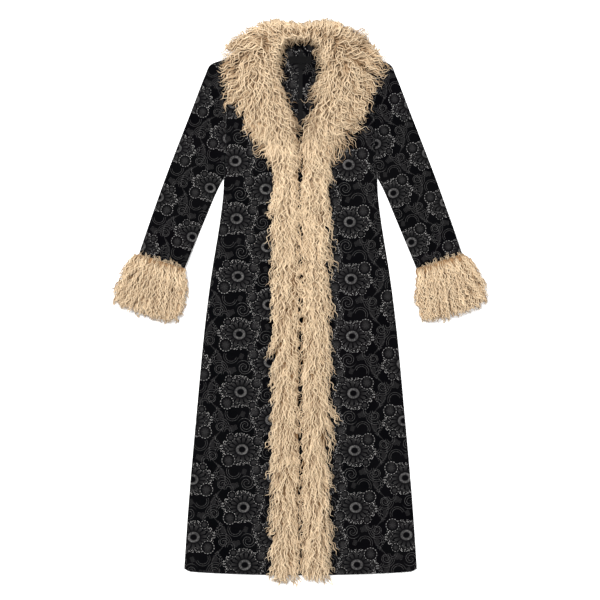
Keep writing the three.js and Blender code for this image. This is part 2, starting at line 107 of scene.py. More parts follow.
# Soft folds in the cloth: middle x and y, direction in degrees, length, half width and height.
FRONT_FOLDS = [
    (168, -560, 84, 250, 17, 1.5), (236, -470, 78, 300, 20, 1.3), (118, -600, 92, 170, 14, 1.0),
    (150, -250, 88, 330, 24, 1.1), (206, -150, 80, 210, 16, 1.2), (168, 222, 48, 74, 9, 1.5),
    (150, 268, 38, 60, 8, 1.2), (182, 150, 66, 110, 10, 1.1), (122, 60, 96, 180, 18, 0.9),
]
BACK_FOLDS = [
    (90, -520, 95, 280, 20, 1.2), (196, -430, 82, 240, 18, 1.3), (140, -120, 88, 300, 24, 1.1),
    (150, 240, 40, 70, 10, 1.2), (60, 330, 84, 200, 16, 0.9), (120, 420, 70, 120, 13, 1.0),
]
SLEEVE_FOLDS = [
    (232, 318, 28, 62, 7, 2.0), (243, 350, 40, 80, 9, 1.6), (262, 262, 20, 56, 7, 1.7),
    (296, 246, 24, 84, 9, 1.9), (312, 282, 32, 70, 8, 1.4), (318, 196, 18, 66, 8, 1.5),
    (212, 420, 74, 110, 11, 1.3), (338, 150, 20, 60, 9, 1.2), (258, 470, 62, 90, 12, 1.1),
]
# How the woven pattern lies on each piece: the middle of one flower, direction in degrees and scale.
PATTERN = {
    "back_right": (60, -350, 0, 1), "back_left": (-60, -350, 0, 1),
    "front_right": (135, -373, 181.2, 0.984), "front_left": (-146, -370.8, 1.35, 0.994),
    "sleeve_right": (232, 269.5, 200, 0.9), "sleeve_left": (-225.3, 282.5, -20, 0.9),
}


# ---- Numbers ----
def smooth(t):
    """0 below 0, 1 above 1, and 3t^2 - 2t^3 between them."""
    c = np.clip(t, 0, 1)
    return c * c * (3 - 2 * c)


def mix(a, b, t):
    """a where t is 0, b where it is 1, in a straight line between."""
    return a + (b - a) * t


def cubic(t, first, rise, start, end):
    """A cubic from `first` at t 0 to `first + rise` at t 1, with the slopes `start` and `end` there."""
    return first + t * (start + t * (3 * rise - 2 * start - end + t * (start + end - 2 * rise)))


def read_table(rows, at):
    """The second column at values of the first: cubics, with the slope of its neighbours' chord at a row."""
    x, y = np.asarray(rows, float).T
    slope = np.gradient(y, x)
    slope[1:-1] = (y[2:] - y[:-2]) / (x[2:] - x[:-2])
    at = np.clip(at, x[0], x[-1])
    i = np.clip(np.searchsorted(x, at, side="right") - 1, 0, len(x) - 2)
    span = x[i + 1] - x[i]
    return cubic((at - x[i]) / span, y[i], y[i + 1] - y[i], slope[i] * span, slope[i + 1] * span)


def curve_at(points, share):
    """Points along a smooth curve through all of `points`; share counts them from 0 to 1.

    Cubics, whose speed at a point weighs the chords on both sides by the square roots of their lengths.
    """
    points = np.asarray(points, float)
    padded = np.vstack([2 * points[0] - points[1], points, 2 * points[-1] - points[-2]])
    last = len(points) - 1
    at = np.clip(np.asarray(share, float), 0, 1) * last
    i = np.minimum(at.astype(int), last - 1)
    p0, p1, p2, p3 = (padded[i + k] for k in range(4))
    chords = ((p0, p1), (p1, p2), (p2, p3))
    d0, d1, d2 = (np.sqrt(np.linalg.norm(b - a, axis=-1, keepdims=True)) + 1e-6 for a, b in chords)
    rise = p2 - p1
    start = ((p1 - p0) / d0 - (p2 - p0) / (d0 + d1) + rise / d1) * d1
    end = (rise / d1 - (p3 - p1) / (d1 + d2) + (p3 - p2) / d2) * d1
    return cubic((at - i)[..., None], p1, rise, start, end)


def turned(x, y, degrees):
    """Distances along and across a direction, for numbers and for fields alike."""
    c, s = math.cos(math.radians(degrees)), math.sin(math.radians(degrees))
    return x * c + y * s, y * c - x * s


def dome(u, crown):
    """A dome across a strip of fur: 0 at its edges and 1 at the share `crown`, as 1 - t^2.6 under a root."""
    t = np.where(u < crown, 1 - u / crown, (u - crown) / (1 - crown))
    return np.sqrt(np.maximum(0, 1 - np.clip(t, 0, 1) ** 2.6))


# ---- The coat's outline and layers ----
def armhole_share(y):
    """How far up the armhole a level is, from 0 at the underarm to 1 at the shoulder."""
    return np.clip((y - UNDERARM[1]) / (SHOULDER_TIP[1] - UNDERARM[1]), 0, 1)


def half_width(y):
    """Half the body's width: the side seam's table, and above it a line that bows in by half a sine."""
    up = armhole_share(y)
    armhole = mix(UNDERARM[0], SHOULDER_TIP[0], up) - ARMHOLE_BOW * np.sin(np.pi * up)
    return np.where(y <= UNDERARM[1], read_table(BODY, y), armhole)


def neckline(y):
    """Half the opening between the fronts."""
    return np.where(y <= NECKLINE[0][0], 1.0, read_table(NECKLINE, y))


def centre_back(y):
    """The middle edge of a back panel, half a seam's gap from the centre line."""
    return np.full_like(y, SEAM_GAP / 2)


def hem_line(u):
    """The hem, u of the way out: a parabola that ends in a rounded corner."""
    return HEM_Y + 10 * u * u + 6 * smooth((u - 0.955) / 0.045)


def shoulder_line(x):
    """The back neckline, a parabola, and outside it the straight shoulder seam."""
    neck = NECK[1] - 10 * (1 - (x / NECK[0]) ** 2)
    seam = mix(NECK[1], SHOULDER_TIP[1], (x - NECK[0]) / (SHOULDER_TIP[0] - NECK[0]))
    return np.where(x < NECK[0], neck, seam)


def fall_edge(x):
    """The lower edge of the collar's back fall, a parabola."""
    return 572 + 60 * (x / 170) ** 2


def lift(x, y):
    """How far the collar's back fall lifts the cloth: a ramp across the back times a ramp up it."""
    return FALL_LIFT * smooth((250 - np.abs(x)) / 190) * smooth((y - fall_edge(x) + 100) / 130)


def body_gap(x, y):
    """The air between front and back: it closes at the seams and is lower under the front trim."""
    side = np.maximum(smooth((half_width(y) - x) / 45), np.sin(np.pi * armhole_share(y)))
    top = smooth((shoulder_line(x) - y) / 60)
    return SEAM_GAP + side * top * (LOFT - SEAM_GAP) * mix(0.55, 1, smooth((x - 60) / 80))


def stack_top(x, y):
    """The top of the cloth that the fur lies on, easing down to the floor past the shoulder seam."""
    cloth = 2 * CLOTH + body_gap(np.minimum(x, half_width(y)), y)
    return lift(x, y) + cloth * (1 - smooth((y - shoulder_line(x) - 20) / 30))


def folds_at(folds, x, y):
    """Soft folds: each a bell across its wandering middle line, which fades at both ends of its length."""
    height = np.zeros_like(x)
    for x0, y0, degrees, length, wide, high in folds:
        p, q = turned(x - x0, y - y0, degrees)
        q = q + 0.35 * wide * np.sin(p / (0.9 * wide) + x0)
        height = height + high * np.exp(-((q / wide) ** 2)) * smooth(1 - np.abs(2 * p / length))
    return height


# ---- Meshes ----
def slab(upper, lower):
    """Corners and quads of a closed slab between two grids of points over the same shares."""
    rows, columns = upper.shape[:2]
    k = np.arange(rows * columns).reshape(rows, columns)
    skin = np.stack([k[:-1, :-1], k[:-1, 1:], k[1:, 1:], k[1:, :-1]], -1).reshape(-1, 4)
    rim = np.concatenate([k[0], k[1:, -1], k[-1, -2::-1], k[-2:0:-1, 0]])
    after = np.roll(rim, -1)
    wall = np.stack([rim + k.size, after + k.size, after, rim], -1)
    corners = np.concatenate([upper.reshape(-1, 3), lower.reshape(-1, 3)])
    return corners, np.concatenate([skin, skin[:, ::-1] + k.size, wall])


def ring_quads(k):
    """Quads between rings of corners, from a grid of their numbers with one ring to a row."""
    n = np.roll(k, -1, axis=1)
    return np.stack([k[:-1], k[1:], n[1:], n[:-1]], -1).reshape(-1, 4)


def tube_wall(outer, inner):
    """Corners and quads of a walled tube: rings round its outside and inside, joined at both ends."""
    rows, ring = outer.shape[:2]
    k = np.arange(rows * ring).reshape(rows, ring)
    n = np.roll(k, -1, axis=1)
    skin = ring_quads(k)
    first = np.stack([k[0], n[0], n[0] + k.size, k[0] + k.size], -1)
    last = np.stack([k[-1], k[-1] + k.size, n[-1] + k.size, n[-1]], -1)
    corners = np.concatenate([outer.reshape(-1, 3), inner.reshape(-1, 3)])
    return corners, np.concatenate([skin, skin[:, ::-1] + k.size, first, last])


def add_mesh(name, corners, faces, material, grain=None, tone=None):
    """A mesh object from corners in millimetres. Faces are arrays of 3 or 4 corners, turned to face outward.

    grain gives the UV map, in metres, and tone a number for each corner.
    """
    groups = faces if isinstance(faces, list) else [faces]
    volume = 0.0
    for group in groups:
        for k in range(1, group.shape[1] - 1):
            a, b, c = (corners[group[:, column]] for column in (0, k, k + 1))
            volume += np.einsum("ij,ij->", a, np.cross(b, c))
    if volume < 0:
        groups = [group[:, ::-1] for group in groups]
    loops = np.concatenate([group.ravel() for group in groups]).astype(np.int32)
    sizes = np.concatenate([np.full(len(group), group.shape[1]) for group in groups])
    mesh = bpy.data.meshes.new(name)
    mesh.vertices.add(len(corners))
    mesh.vertices.foreach_set("co", (corners * 0.001).astype(np.float32).ravel())
    mesh.loops.add(len(loops))
    mesh.loops.foreach_set("vertex_index", loops)
    mesh.polygons.add(len(sizes))
    mesh.polygons.foreach_set("loop_start", (np.cumsum(sizes) - sizes).astype(np.int32))
    mesh.polygons.foreach_set("use_smooth", np.ones(len(sizes), bool))
    if grain is not None:
        layer = mesh.uv_layers.new(name="Grain")
        layer.data.foreach_set("uv", np.asarray(grain, np.float32)[loops].ravel())
    if tone is not None:
        mesh.attributes.new("Tone", "FLOAT", "POINT").data.foreach_set("value", tone.astype(np.float32))
    mesh.update(calc_edges=True)
    mesh.materials.append(material)
    piece = bpy.data.objects.new(name, mesh)
    bpy.context.scene.collection.objects.link(piece)
    return piece


def seat(piece, slot, *nodes):
    """The piece rides on the coat and stands for the named solids, whose meshes are hidden. slot is not used.
    """
    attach(piece, "root")
    if nodes:
        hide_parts(*nodes)
    return piece


def mirror(points, side):
    """The points, or for side -1 their mirror image across the centre line."""
    return points * np.array([side, 1.0, 1.0])


# ---- Cloth ----
def share_grid(columns, width, rows, length):
    """Grids of shares over a sheet: even ones, and two more close to each edge, where it is rounded."""

    def shares(count, size):
        near = np.array([0.4, 1.3]) / size
        return np.unique(np.concatenate([np.linspace(0, 1, count + 1), near, 1 - near]))

    return np.meshgrid(shares(columns, width), shares(rows, length))


def cloth_sheet(x, y, base, thick, u, v, width, length):
    """Upper and lower grids of a sheet with rounded edges: its half thickness is a quarter circle there."""
    inward = np.minimum(np.minimum(u, 1 - u) * width, np.minimum(v, 1 - v) * length)
    half = thick * (0.15 + 0.35 * np.sqrt(1 - (1 - np.clip(inward / 1.3, 0, 1)) ** 2))
    middle = base + thick / 2
    return np.stack([x, y, middle + half], -1), np.stack([x, y, middle - half], -1)


def panel_places(edge, top_x, u, v):
    """Plan of a body panel: straight from hem to shoulder at each u, and from edge to side seam at each y."""
    y = mix(hem_line(u), shoulder_line(mix(top_x, SHOULDER_TIP[0], u)), v)
    return mix(edge(y), half_width(y), u), y


def grain_map(name, corners):
    """Coordinates in metres along and across the woven pattern, from where it lies on the named piece."""
    x0, y0, degrees, scale = PATTERN[name.removesuffix("_cloth")]
    place = turned((corners[:, 0] - x0) * 0.001 / scale, (corners[:, 1] - y0) * 0.001 / scale, degrees)
    return np.stack(place, -1)


def body_panel(name, side, cloth, material):
    """One half of the back or of the front, from its middle edge (u 0) to the side seam (u 1)."""
    u, v = share_grid(38, PANEL_SIZE[0], 100, PANEL_SIZE[1])
    thick = cloth.thickness * 1000
    if name.startswith("front"):
        x, y = panel_places(neckline, NECK[0], u, v)
        clear = smooth((x - 84) / 40) * smooth((half_width(y) - x) / 30)
        base = lift(x, y) + thick + body_gap(x, y) + cloth.fold_height * clear * folds_at(FRONT_FOLDS, x, y)
        turned_hem = 0.35 * smooth((40 - (y - hem_line(u))) / 4)
    else:
        x, y = panel_places(centre_back, SEAM_GAP / 2, u, v)
        room = np.maximum(0, body_gap(x, y) - 0.7)
        base = lift(x, y) + np.minimum(room, cloth.fold_height * folds_at(BACK_FOLDS, x, y))
        turned_hem = 0
    upper, lower = cloth_sheet(x, y, base, thick, u, v, *PANEL_SIZE)
    upper[..., 2] += turned_hem
    corners, quads = slab(mirror(upper, side), mirror(lower, side))
    return add_mesh(name, corners, quads, material, grain_map(name, corners))


def sleeve_width(t):
    """Distance between the sleeve's folds, t of the way down it."""
    return np.linalg.norm(curve_at(SLEEVE_OUTER, t) - curve_at(SLEEVE_INNER, t), axis=-1)


def sleeve_gap(w):
    """The air in the flattened sleeve, w of the way across it: a power of half a sine."""
    return mix(SEAM_GAP, LOFT, np.maximum(0, np.sin(np.pi * w)) ** 0.8)


def wrist_lift(t):
    """How far the fur under the wrist lifts the sleeve: a ramp over its last quarter."""
    return WRIST_LIFT * smooth((t - 0.74) / 0.26)


def sleeve_place(w, t):
    """Plan of the sleeve, w of the way from its outer to its inner fold and t of the way down it."""
    point = mix(curve_at(SLEEVE_OUTER, t), curve_at(SLEEVE_INNER, t), w[..., None])
    armhole = half_width(mix(SHOULDER_TIP[1], UNDERARM[1], w)) + ARMHOLE_GAP
    straight = mix(SHOULDER_TIP[0], UNDERARM[0], w)
    return point[..., 0] + (armhole - straight) * (1 - t) ** 6, point[..., 1]


def sleeve_level(w, t, side_up, inset, thick):
    """Height of the sleeve's top (side_up 1) or bottom (side_up -1) face, a quarter circle at the folds."""
    fold = np.clip(np.minimum(w, 1 - w) * sleeve_width(t) / 1.6, 0, 1)
    middle = thick + SEAM_GAP / 2
    reach = np.where(side_up > 0, 2 * thick + sleeve_gap(w) - inset - middle, middle - inset)
    return middle + side_up * reach * np.sqrt(1 - (1 - fold) ** 2)


def sleeve(name, side, cloth, material):
    """The flattened sleeve: a thin tube whose rings run along the bottom and back along the top."""
    thick = cloth.thickness * 1000
    turn, t = np.meshgrid(np.linspace(0, 2 * np.pi, 45)[:-1], np.linspace(0, 1, 73))
    w = 0.5 - 0.5 * np.cos(turn)
    up = np.where(turn < np.pi, -1.0, 1.0)
    ends = smooth(t / 0.12) * smooth((1 - t) / 0.14) * smooth(np.minimum(w, 1 - w) / 0.06)
    rings = []
    for inset in (0.0, thick):
        margin = inset / sleeve_width(t)
        x, y = sleeve_place(mix(margin, 1 - margin, w), t)
        fold = cloth.fold_height * folds_at(SLEEVE_FOLDS, x, y) * ends * np.where(up > 0, 1, 0.3)
        level = lift(x, y) + wrist_lift(t) + fold + sleeve_level(w, t, up, inset, thick)
        rings.append(mirror(np.stack([x, y, level], -1), side))
    corners, quads = tube_wall(*rings)
    return add_mesh(name, corners, quads, material, grain_map(name, corners))


def flat_strip(name, place, counts, over, wall, material):
    """A narrow sheet with rounded edges that lies `over` millimetres above the base of the back panels."""
    left, right, bottom, top = place
    size = (right - left, top - bottom)
    u, v = share_grid(counts[0], size[0], counts[1], size[1])
    x, y = mix(left, right, u), mix(bottom, top, v)
    corners, quads = slab(*cloth_sheet(x, y, lift(x, y) + over, wall, u, v, *size))
    return add_mesh(name, corners, quads, material, corners[:, :2] * 0.001)


# ---- Heights that the hair follows ----
class Relief:
    """Heights on a square grid of cells over the floor, read between them by straight lines."""

    CELL = 2.5
    LOW = np.array([-540.0, -760.0])
    SHAPE = (433, 609)

    def __init__(self):
        self.z = np.zeros(self.SHAPE)

    def raise_to(self, x, y, z):
        """Raises each cell under a point to at least the point's height, on both halves of the coat."""
        for side in (1, -1):
            i = np.rint((side * x - self.LOW[0]) / self.CELL).astype(int)
            j = np.rint((y - self.LOW[1]) / self.CELL).astype(int)
            np.maximum.at(self.z, (i, j), z)

    def soften(self, times):
        """Replaces each height by the mean of its three by three neighbours, a number of times."""
        rows, columns = self.SHAPE
        for _ in range(times):
            padded = np.pad(self.z, 1, mode="edge")
            self.z = sum(padded[i : i + rows, j : j + columns] for i in range(3) for j in range(3)) / 9
        return self

    def at(self, x, y):
        """The height at each point of the plan."""
        p = np.clip((x - self.LOW[0]) / self.CELL, 0, self.SHAPE[0] - 1.001)
        q = np.clip((y - self.LOW[1]) / self.CELL, 0, self.SHAPE[1] - 1.001)
        i, j = p.astype(int), q.astype(int)
        near, far = (mix(self.z[i, column], self.z[i + 1, column], p - i) for column in (j, j + 1))
        return mix(near, far, q - j)


def fine_shares(across, along):
    """A dense grid of shares for filling a relief."""
    return np.meshgrid(np.linspace(0, 1, across), np.linspace(0, 1, along))


def collar_place(u, v):
    """Plan of half the collar: v from centre back to lower end, u from inner to outer edge."""
    point = mix(curve_at(COLLAR_INNER, v), curve_at(COLLAR_OUTER, v), u[..., None])
    return point[..., 0], point[..., 1]


def collar_pile(u, v):
    """Thickness of the collar's fur: a dome that leans inward, lower towards its outer and lower ends."""
    outward = 1 - 0.45 * smooth((u - 0.35) / 0.65)
    return COLLAR_HIGH * dome(u, 0.3) * outward * (1 - 0.3 * smooth((v - 0.85) / 0.15))


def trim_place(u, v):
    """Plan of one front trim: v from the collar down to its end, u from its inner to its outer edge."""
    top = mix(COLLAR_INNER[-1][1], COLLAR_OUTER[-1][1], u) - FUR_GAP
    bottom = TRIM_BOTTOM + 30 * np.abs(2 * u - 1) ** 3
    return mix(TRIM_INNER, TRIM_OUTER, u), mix(top, bottom, v)


def trim_pile(u, v):
    """Thickness of the trim's fur: a dome that slopes down at its lower end on a quarter circle."""
    to_end = np.clip((trim_place(u, v)[1] - TRIM_BOTTOM) / 40, 0, 1)
    return TRIM_HIGH * dome(u, 0.48) * np.sqrt(1 - (1 - to_end) ** 2)


def cuff_axes():
    """The middle of the cuff seam, and unit vectors across the arm to its inner side and down it."""
    outer, inner = np.array(SLEEVE_OUTER[-1], float), np.array(SLEEVE_INNER[-1], float)
    across = (inner - outer) / np.linalg.norm(inner - outer)
    return (outer + inner) / 2, across, np.array([-across[1], across[0]])


def cuff_place(along, sideways):
    """Plan of a point on the cuff from its distances down the arm and across it."""
    middle, across, down = cuff_axes()
    return tuple(middle[k] + down[k] * along + across[k] * sideways for k in (0, 1))


def cuff_reach(along, sideways):
    """How far the cuff's fur reaches, on the inner side of the arm where sideways is over 0."""
    return np.where(sideways > 0, read_table(CUFF_INNER, along), read_table(CUFF_OUTER, along))


def cuff_pile(along, sideways):
    """Thickness of the cuff's fur above the wrist: a dome across the arm that drops at both ends."""
    t = (along - CUFF_START) / (CUFF_END - CUFF_START)
    ends = np.sqrt(smooth(t * 5 + 0.35)) * (1 - 0.45 * smooth((t - 0.8) / 0.2))
    c = np.clip(np.abs(sideways) / cuff_reach(along, sideways), 0, 1) ** 1.25
    return CUFF_HIGH * ends * (1 - c * c) ** 0.375


def lay_reliefs():
    """The cloth's top, with the ground under the fur past its edges, and each fur's own thickness."""
    ground, front, cuff = Relief(), Relief(), Relief()
    u, v = fine_shares(200, 900)
    x, y = panel_places(neckline, NECK[0], u, v)
    ground.raise_to(x, y, lift(x, y) + 2 * CLOTH + body_gap(x, y))
    x, y = panel_places(centre_back, SEAM_GAP / 2, u, v)
    ground.raise_to(x, y, lift(x, y) + CLOTH)
    u, v = fine_shares(160, 400)
    x, y = sleeve_place(u, v)
    ground.raise_to(x, y, lift(x, y) + wrist_lift(v) + 2 * CLOTH + sleeve_gap(u))
    u, v = fine_shares(160, 800)
    for place, pile in ((collar_place, collar_pile), (trim_place, trim_pile)):
        x, y = place(u, v)
        ground.raise_to(x, y, stack_top(x, y))
        front.raise_to(x, y, np.maximum(pile(u, v), 3))
    along, share = np.meshgrid(np.linspace(CUFF_START, CUFF_END, 140), np.linspace(-1, 1, 220))
    sideways = share * cuff_reach(along, share)
    x, y = cuff_place(along, sideways)
    ground.raise_to(x, y, np.full_like(x, WRIST_LIFT))
    cuff.raise_to(x, y, cuff_pile(along, sideways) + 1.5)
    return {"ground": ground.soften(2), "front": front.soften(3), "cuff": cuff.soften(3)}


# ---- Fur backing ----
def laid_pelt(name, side, fur, material, place, pile, u, v, inset):
    """A thin domed shell of backing on the cloth, a share of the fur's thickness high where inset is 1."""
    x, y = place(u, v)
    top = stack_top(x, y) + FUR_GAP + np.maximum(fur.pelt_share * pile(u, v) * inset, PELT_WALL + 0.3)
    upper = np.stack([np.maximum(x, 0.4), y, top], -1)
    corners, quads = slab(mirror(upper, side), mirror(upper - (0, 0, PELT_WALL), side))
    return add_mesh(name, corners, quads, material)


def collar_pelt(name, side, fur, material):
    """Half the collar's backing, drawn in from the outline of the hair."""
    across, v = np.meshgrid(np.linspace(0, 1, 26), np.linspace(0, 0.985, 90))
    inset = smooth(across / 0.13) * smooth((1 - across) / 0.13) * smooth((0.99 - v) / 0.04)
    u = mix(0.17 + 0.18 * smooth((0.25 - v) / 0.2), 0.7, across)
    return laid_pelt(name, side, fur, material, collar_place, collar_pile, u, v, inset)


def trim_pelt(name, side, fur, material):
    """The backing of one front trim."""
    u, v = np.meshgrid(np.linspace(0.06, 0.78, 22), np.linspace(0.004, 0.982, 150))
    inset = smooth((u - 0.06) / 0.12) * smooth((0.78 - u) / 0.16) * smooth((0.985 - v) / 0.02)
    return laid_pelt(name, side, fur, material, trim_place, trim_pile, u, v, inset)


def cuff_pelt(name, side, fur, material):
    """The cuff's backing: a thin tube round the wrist, flat below and domed above."""
    turn, along = np.meshgrid(np.linspace(0, 2 * np.pi, 49)[:-1], np.linspace(CUFF_START, 130, 42))
    c, s = np.cos(turn), np.sin(turn)
    reach = cuff_reach(along, -c) - np.where(c > 0, 13, 4 + 9 * smooth(along / 30))
    across = -np.sign(c) * np.abs(c) ** 0.8
    rings = []
    for inset in (0.0, PELT_WALL):
        above = np.maximum(fur.pelt_share * cuff_pile(along, across * reach), 1.5) - inset * 0.9
        below = (3.6 - 0.9 * inset) * smooth(-2 * s)
        level = WRIST_LEVEL + np.where(s >= 0, above * np.abs(s) ** 0.75, -below)
        x, y = cuff_place(along, across * (reach - inset))
        rings.append(mirror(np.stack([x, y, level], -1), side))
    corners, quads = tube_wall(*rings)
    return add_mesh(name, corners, quads, material)


def fall_pelt(name, side, fur, material):
    """The thin backing of the collar's back fall, under the back panels, over both sides of the coat."""
    u, share = np.meshgrid(np.linspace(0, 1, 14), np.linspace(-side, side, 60))
    top = curve_at(COLLAR_OUTER, np.abs(share) * FALL_REACH)
    x = np.sign(share) * top[..., 0]
    y = mix(fall_edge(x), top[..., 1] - 12, u)
    high = lift(x, y) - 0.9
    lower = np.maximum(high - 3.5, 0.4)
    corners, quads = slab(np.stack([x, y, high], -1), np.stack([x, y, lower], -1))
    return add_mesh(name, corners, quads, material)


# ---- Hair ----
def swirl(x, y, seed):
    """Slow turns of the hair's direction over the fur, about -1 to 1: sines of sines."""
    a = np.sin(x / 27 + 1.7 * np.sin(y / 43 + seed) + seed)
    b = np.sin(y / 31 + 1.4 * np.sin(x / 37 - seed) + 2.1 * seed)
    return 0.55 * a + 0.45 * b


def jittered(rng, across, along):
    """Shares of the middles of a grid's cells, each moved at random within its cell."""
    u, v = np.meshgrid(np.arange(across), np.arange(along))
    return ((u + rng.random(u.shape)) / across).ravel(), ((v + rng.random(v.shape)) / along).ravel()


def strand_tubes(path, radius, tone):
    """Closed three-sided tapering tubes along paths of points, each ending in one point.

    path is (strands, points, 3), with a ring at each point but the last; radius is (strands, points - 1).
    """
    count, rings = path.shape[0], path.shape[1] - 1
    tangent = np.gradient(path, axis=1)[:, :rings]
    tangent /= np.linalg.norm(tangent, axis=-1, keepdims=True) + 1e-9
    sideways = np.cross(tangent, np.array([0.0, 0.0, 1.0]))
    sideways /= np.linalg.norm(sideways, axis=-1, keepdims=True) + 1e-9
    upward = np.cross(sideways, tangent)
    angle = np.radians([90, 210, 330])[:, None]
    around = np.cos(angle) * sideways[:, :, None] + np.sin(angle) * upward[:, :, None]
    ring = path[:, :rings, None] + around * radius[:, :, None, None]
    corners = np.concatenate([ring.reshape(count, -1, 3), path[:, -1:]], axis=1)
    each = rings * 3 + 1
    k = np.arange(rings * 3).reshape(rings, 3)
    tip = np.stack([k[-1], np.full(3, each - 1), np.roll(k[-1], -1)], -1)
    ends = np.concatenate([tip, k[:1]])
    first = (np.arange(count) * each)[:, None, None]
    tones = np.concatenate([np.repeat(tone[:, :rings], 3, axis=1), tone[:, -1:]], axis=1)
    faces = [(ring_quads(k) + first).reshape(-1, 4), (ends + first).reshape(-1, 3)]
    return corners.reshape(-1, 3), faces, tones.ravel()


def grow_locks(
    name, side, rng, x, y, heading, fur, ground, pile, material, *,
    strands, shortest, tested, length, tone, top_share, inside=0, middle=0, bend=0.6, droop=0,
    spread=11, wave=1, swing=1, radius=1, valley_shade=0,
):
    """Curly locks from the roots (x, y), each a clump of strands that draw together towards their tips.

    What follows the star is one number for all locks or one for each. length, wave, swing and radius are
    multiples of the fur's settings. A lock is shortened, down to `shortest`, while its point at the share
    `tested` lies where the fur is thinner than `inside`, or nearer the centre line than `middle`. A strand
    runs along its lock's line, which turns by `bend` times a random angle and by `droop`, with a wave across
    it and a smaller one up and down, which tighten and grow towards its tip. Its height is the ground, plus
    the share of the fur's thickness that its level gives, reached near the root. The first strand of a lock
    is a light one on top in `top_share` of the locks, the second lies under it, and the others are the darker
    filling. A strand's colour is painted darker the lower it lies, as shade deep in the fur, besides the
    hair's own lighter tips. `valley_shade` is painted shade: it darkens the hair over the centre line.
    """
    count, rings = len(x), 11
    root_x = side * x
    heading = heading if side > 0 else np.pi - heading
    reach = fur.lock_length * 1000 * length
    for _ in range(8):
        tip_x = root_x + tested * reach * np.cos(heading)
        outside = pile.at(tip_x, y + tested * reach * np.sin(heading)) < inside
        crosses = tip_x * np.sign(root_x) < middle
        reach = reach * np.where((outside | crosses) & (reach > shortest), 0.88, 1)
    lock = np.repeat(np.arange(count), strands)
    n = len(lock)
    rank = np.tile(np.arange(strands), count)[:, None]
    s = np.linspace(0, 1, rings + 1)[None, :]

    def given(value):
        return np.broadcast_to(value, count)[lock][:, None]

    def each_lock(low, high):
        return rng.uniform(low, high, count)[lock][:, None]

    def each_strand(low, high):
        return rng.uniform(low, high, n)[:, None]

    top = (rank == 0) & (each_strand(0, 1) < top_share)
    fill = rank > 1
    low_level = [each_strand(0.85, 1.04), each_strand(0.05, 0.5), each_strand(0.5, 0.85)]
    level = np.where(top, low_level[0], np.where(fill, low_level[1], low_level[2]))
    long = given(reach) * np.where(top, each_strand(0.85, 1.08), each_strand(0.6, 1.0))
    turn = given(heading) + each_strand(-0.18, 0.18) + each_lock(-0.9, 0.9) * given(bend) * s * s
    turn = turn + given(droop) * s
    step = long / rings
    line_x, line_y = (np.cumsum(step * f(turn), axis=1) - step * f(turn) for f in (np.cos, np.sin))
    off = given(spread) * np.sqrt(rng.random(n))[:, None] * np.where(top, 0.4, 1)
    about = each_strand(0, 2 * np.pi)
    off = off * (1 - 0.3 * smooth(s * 1.15))
    pitch = given(fur.wave_length * 1000 * wave) * each_lock(0.85, 1.25) * each_strand(0.93, 1.07)
    phase = 2 * np.pi * long * (s + 0.2 * s * s) / pitch + each_lock(0, 6.3) + each_strand(-1.2, 1.2)
    wide = given(fur.wave_height * 1000 * swing) * each_lock(0.75, 1.25) * each_strand(0.8, 1.2)
    wide = wide * smooth(s / 0.2) * (0.8 + 0.5 * s) * np.where(fill, 0.7, 1)
    sideways = wide * np.sin(phase)
    strand_x = given(root_x) + off * np.cos(about) + line_x - sideways * np.sin(turn)
    strand_y = given(y) + off * np.sin(about) + line_y + sideways * np.cos(turn)
    share = s[:, :rings]
    taper = (1 - 0.5 * share ** np.where(fill, 2, 4)) * (0.75 + 0.25 * smooth(share / 0.1))
    taper = taper * (1 - 0.45 * smooth((share - 0.75) / 0.25))
    broad = np.where(fill, each_strand(1.05, 1.4), each_strand(0.74, 1.04))
    thick = pile.at(strand_x, strand_y)
    raised = thick * (fur.pelt_share + (1 - fur.pelt_share) * level * smooth(s / 0.35))
    bob = 0.6 * wide * np.cos(phase) * np.clip(thick / 12, 0.25, 1) + each_lock(-1.5, 2.5) * s * s
    over = raised + bob - 1.5 * (1 - smooth(s / 0.2))
    z = ground.at(strand_x, strand_y) + 1.6 + np.maximum(over, 0.5 + 1.2 * level)
    # Painted shade: strands that lie lower in the fur, and the filling, are coloured darker; the rise towards
    # the tip and the chance differences are the hair's own colour.
    tone_with_painted_shade = given(tone) + np.where(fill, 0.02, 0.2) + 0.72 * level * smooth(0.25 + 1.2 * s) + 0.1 * s
    tone_with_painted_shade = tone_with_painted_shade + each_lock(-0.05, 0.05) + each_strand(-0.1, 0.1)
    # Painted shade: hair within 8 mm of the centre line is darkened, for the shadowed valley where the two
    # trims meet.
    tone_with_painted_shade = tone_with_painted_shade - given(valley_shade) * smooth(1 - np.abs(strand_x) / 8)
    path = np.stack([strand_x, strand_y, z], -1)
    thickness = given(fur.strand_radius * 1000 * radius) * broad * taper
    corners, faces, tones = strand_tubes(path, thickness, np.clip(tone_with_painted_shade, 0, 1))
    return add_mesh(name, corners, faces, material, tone=tones)


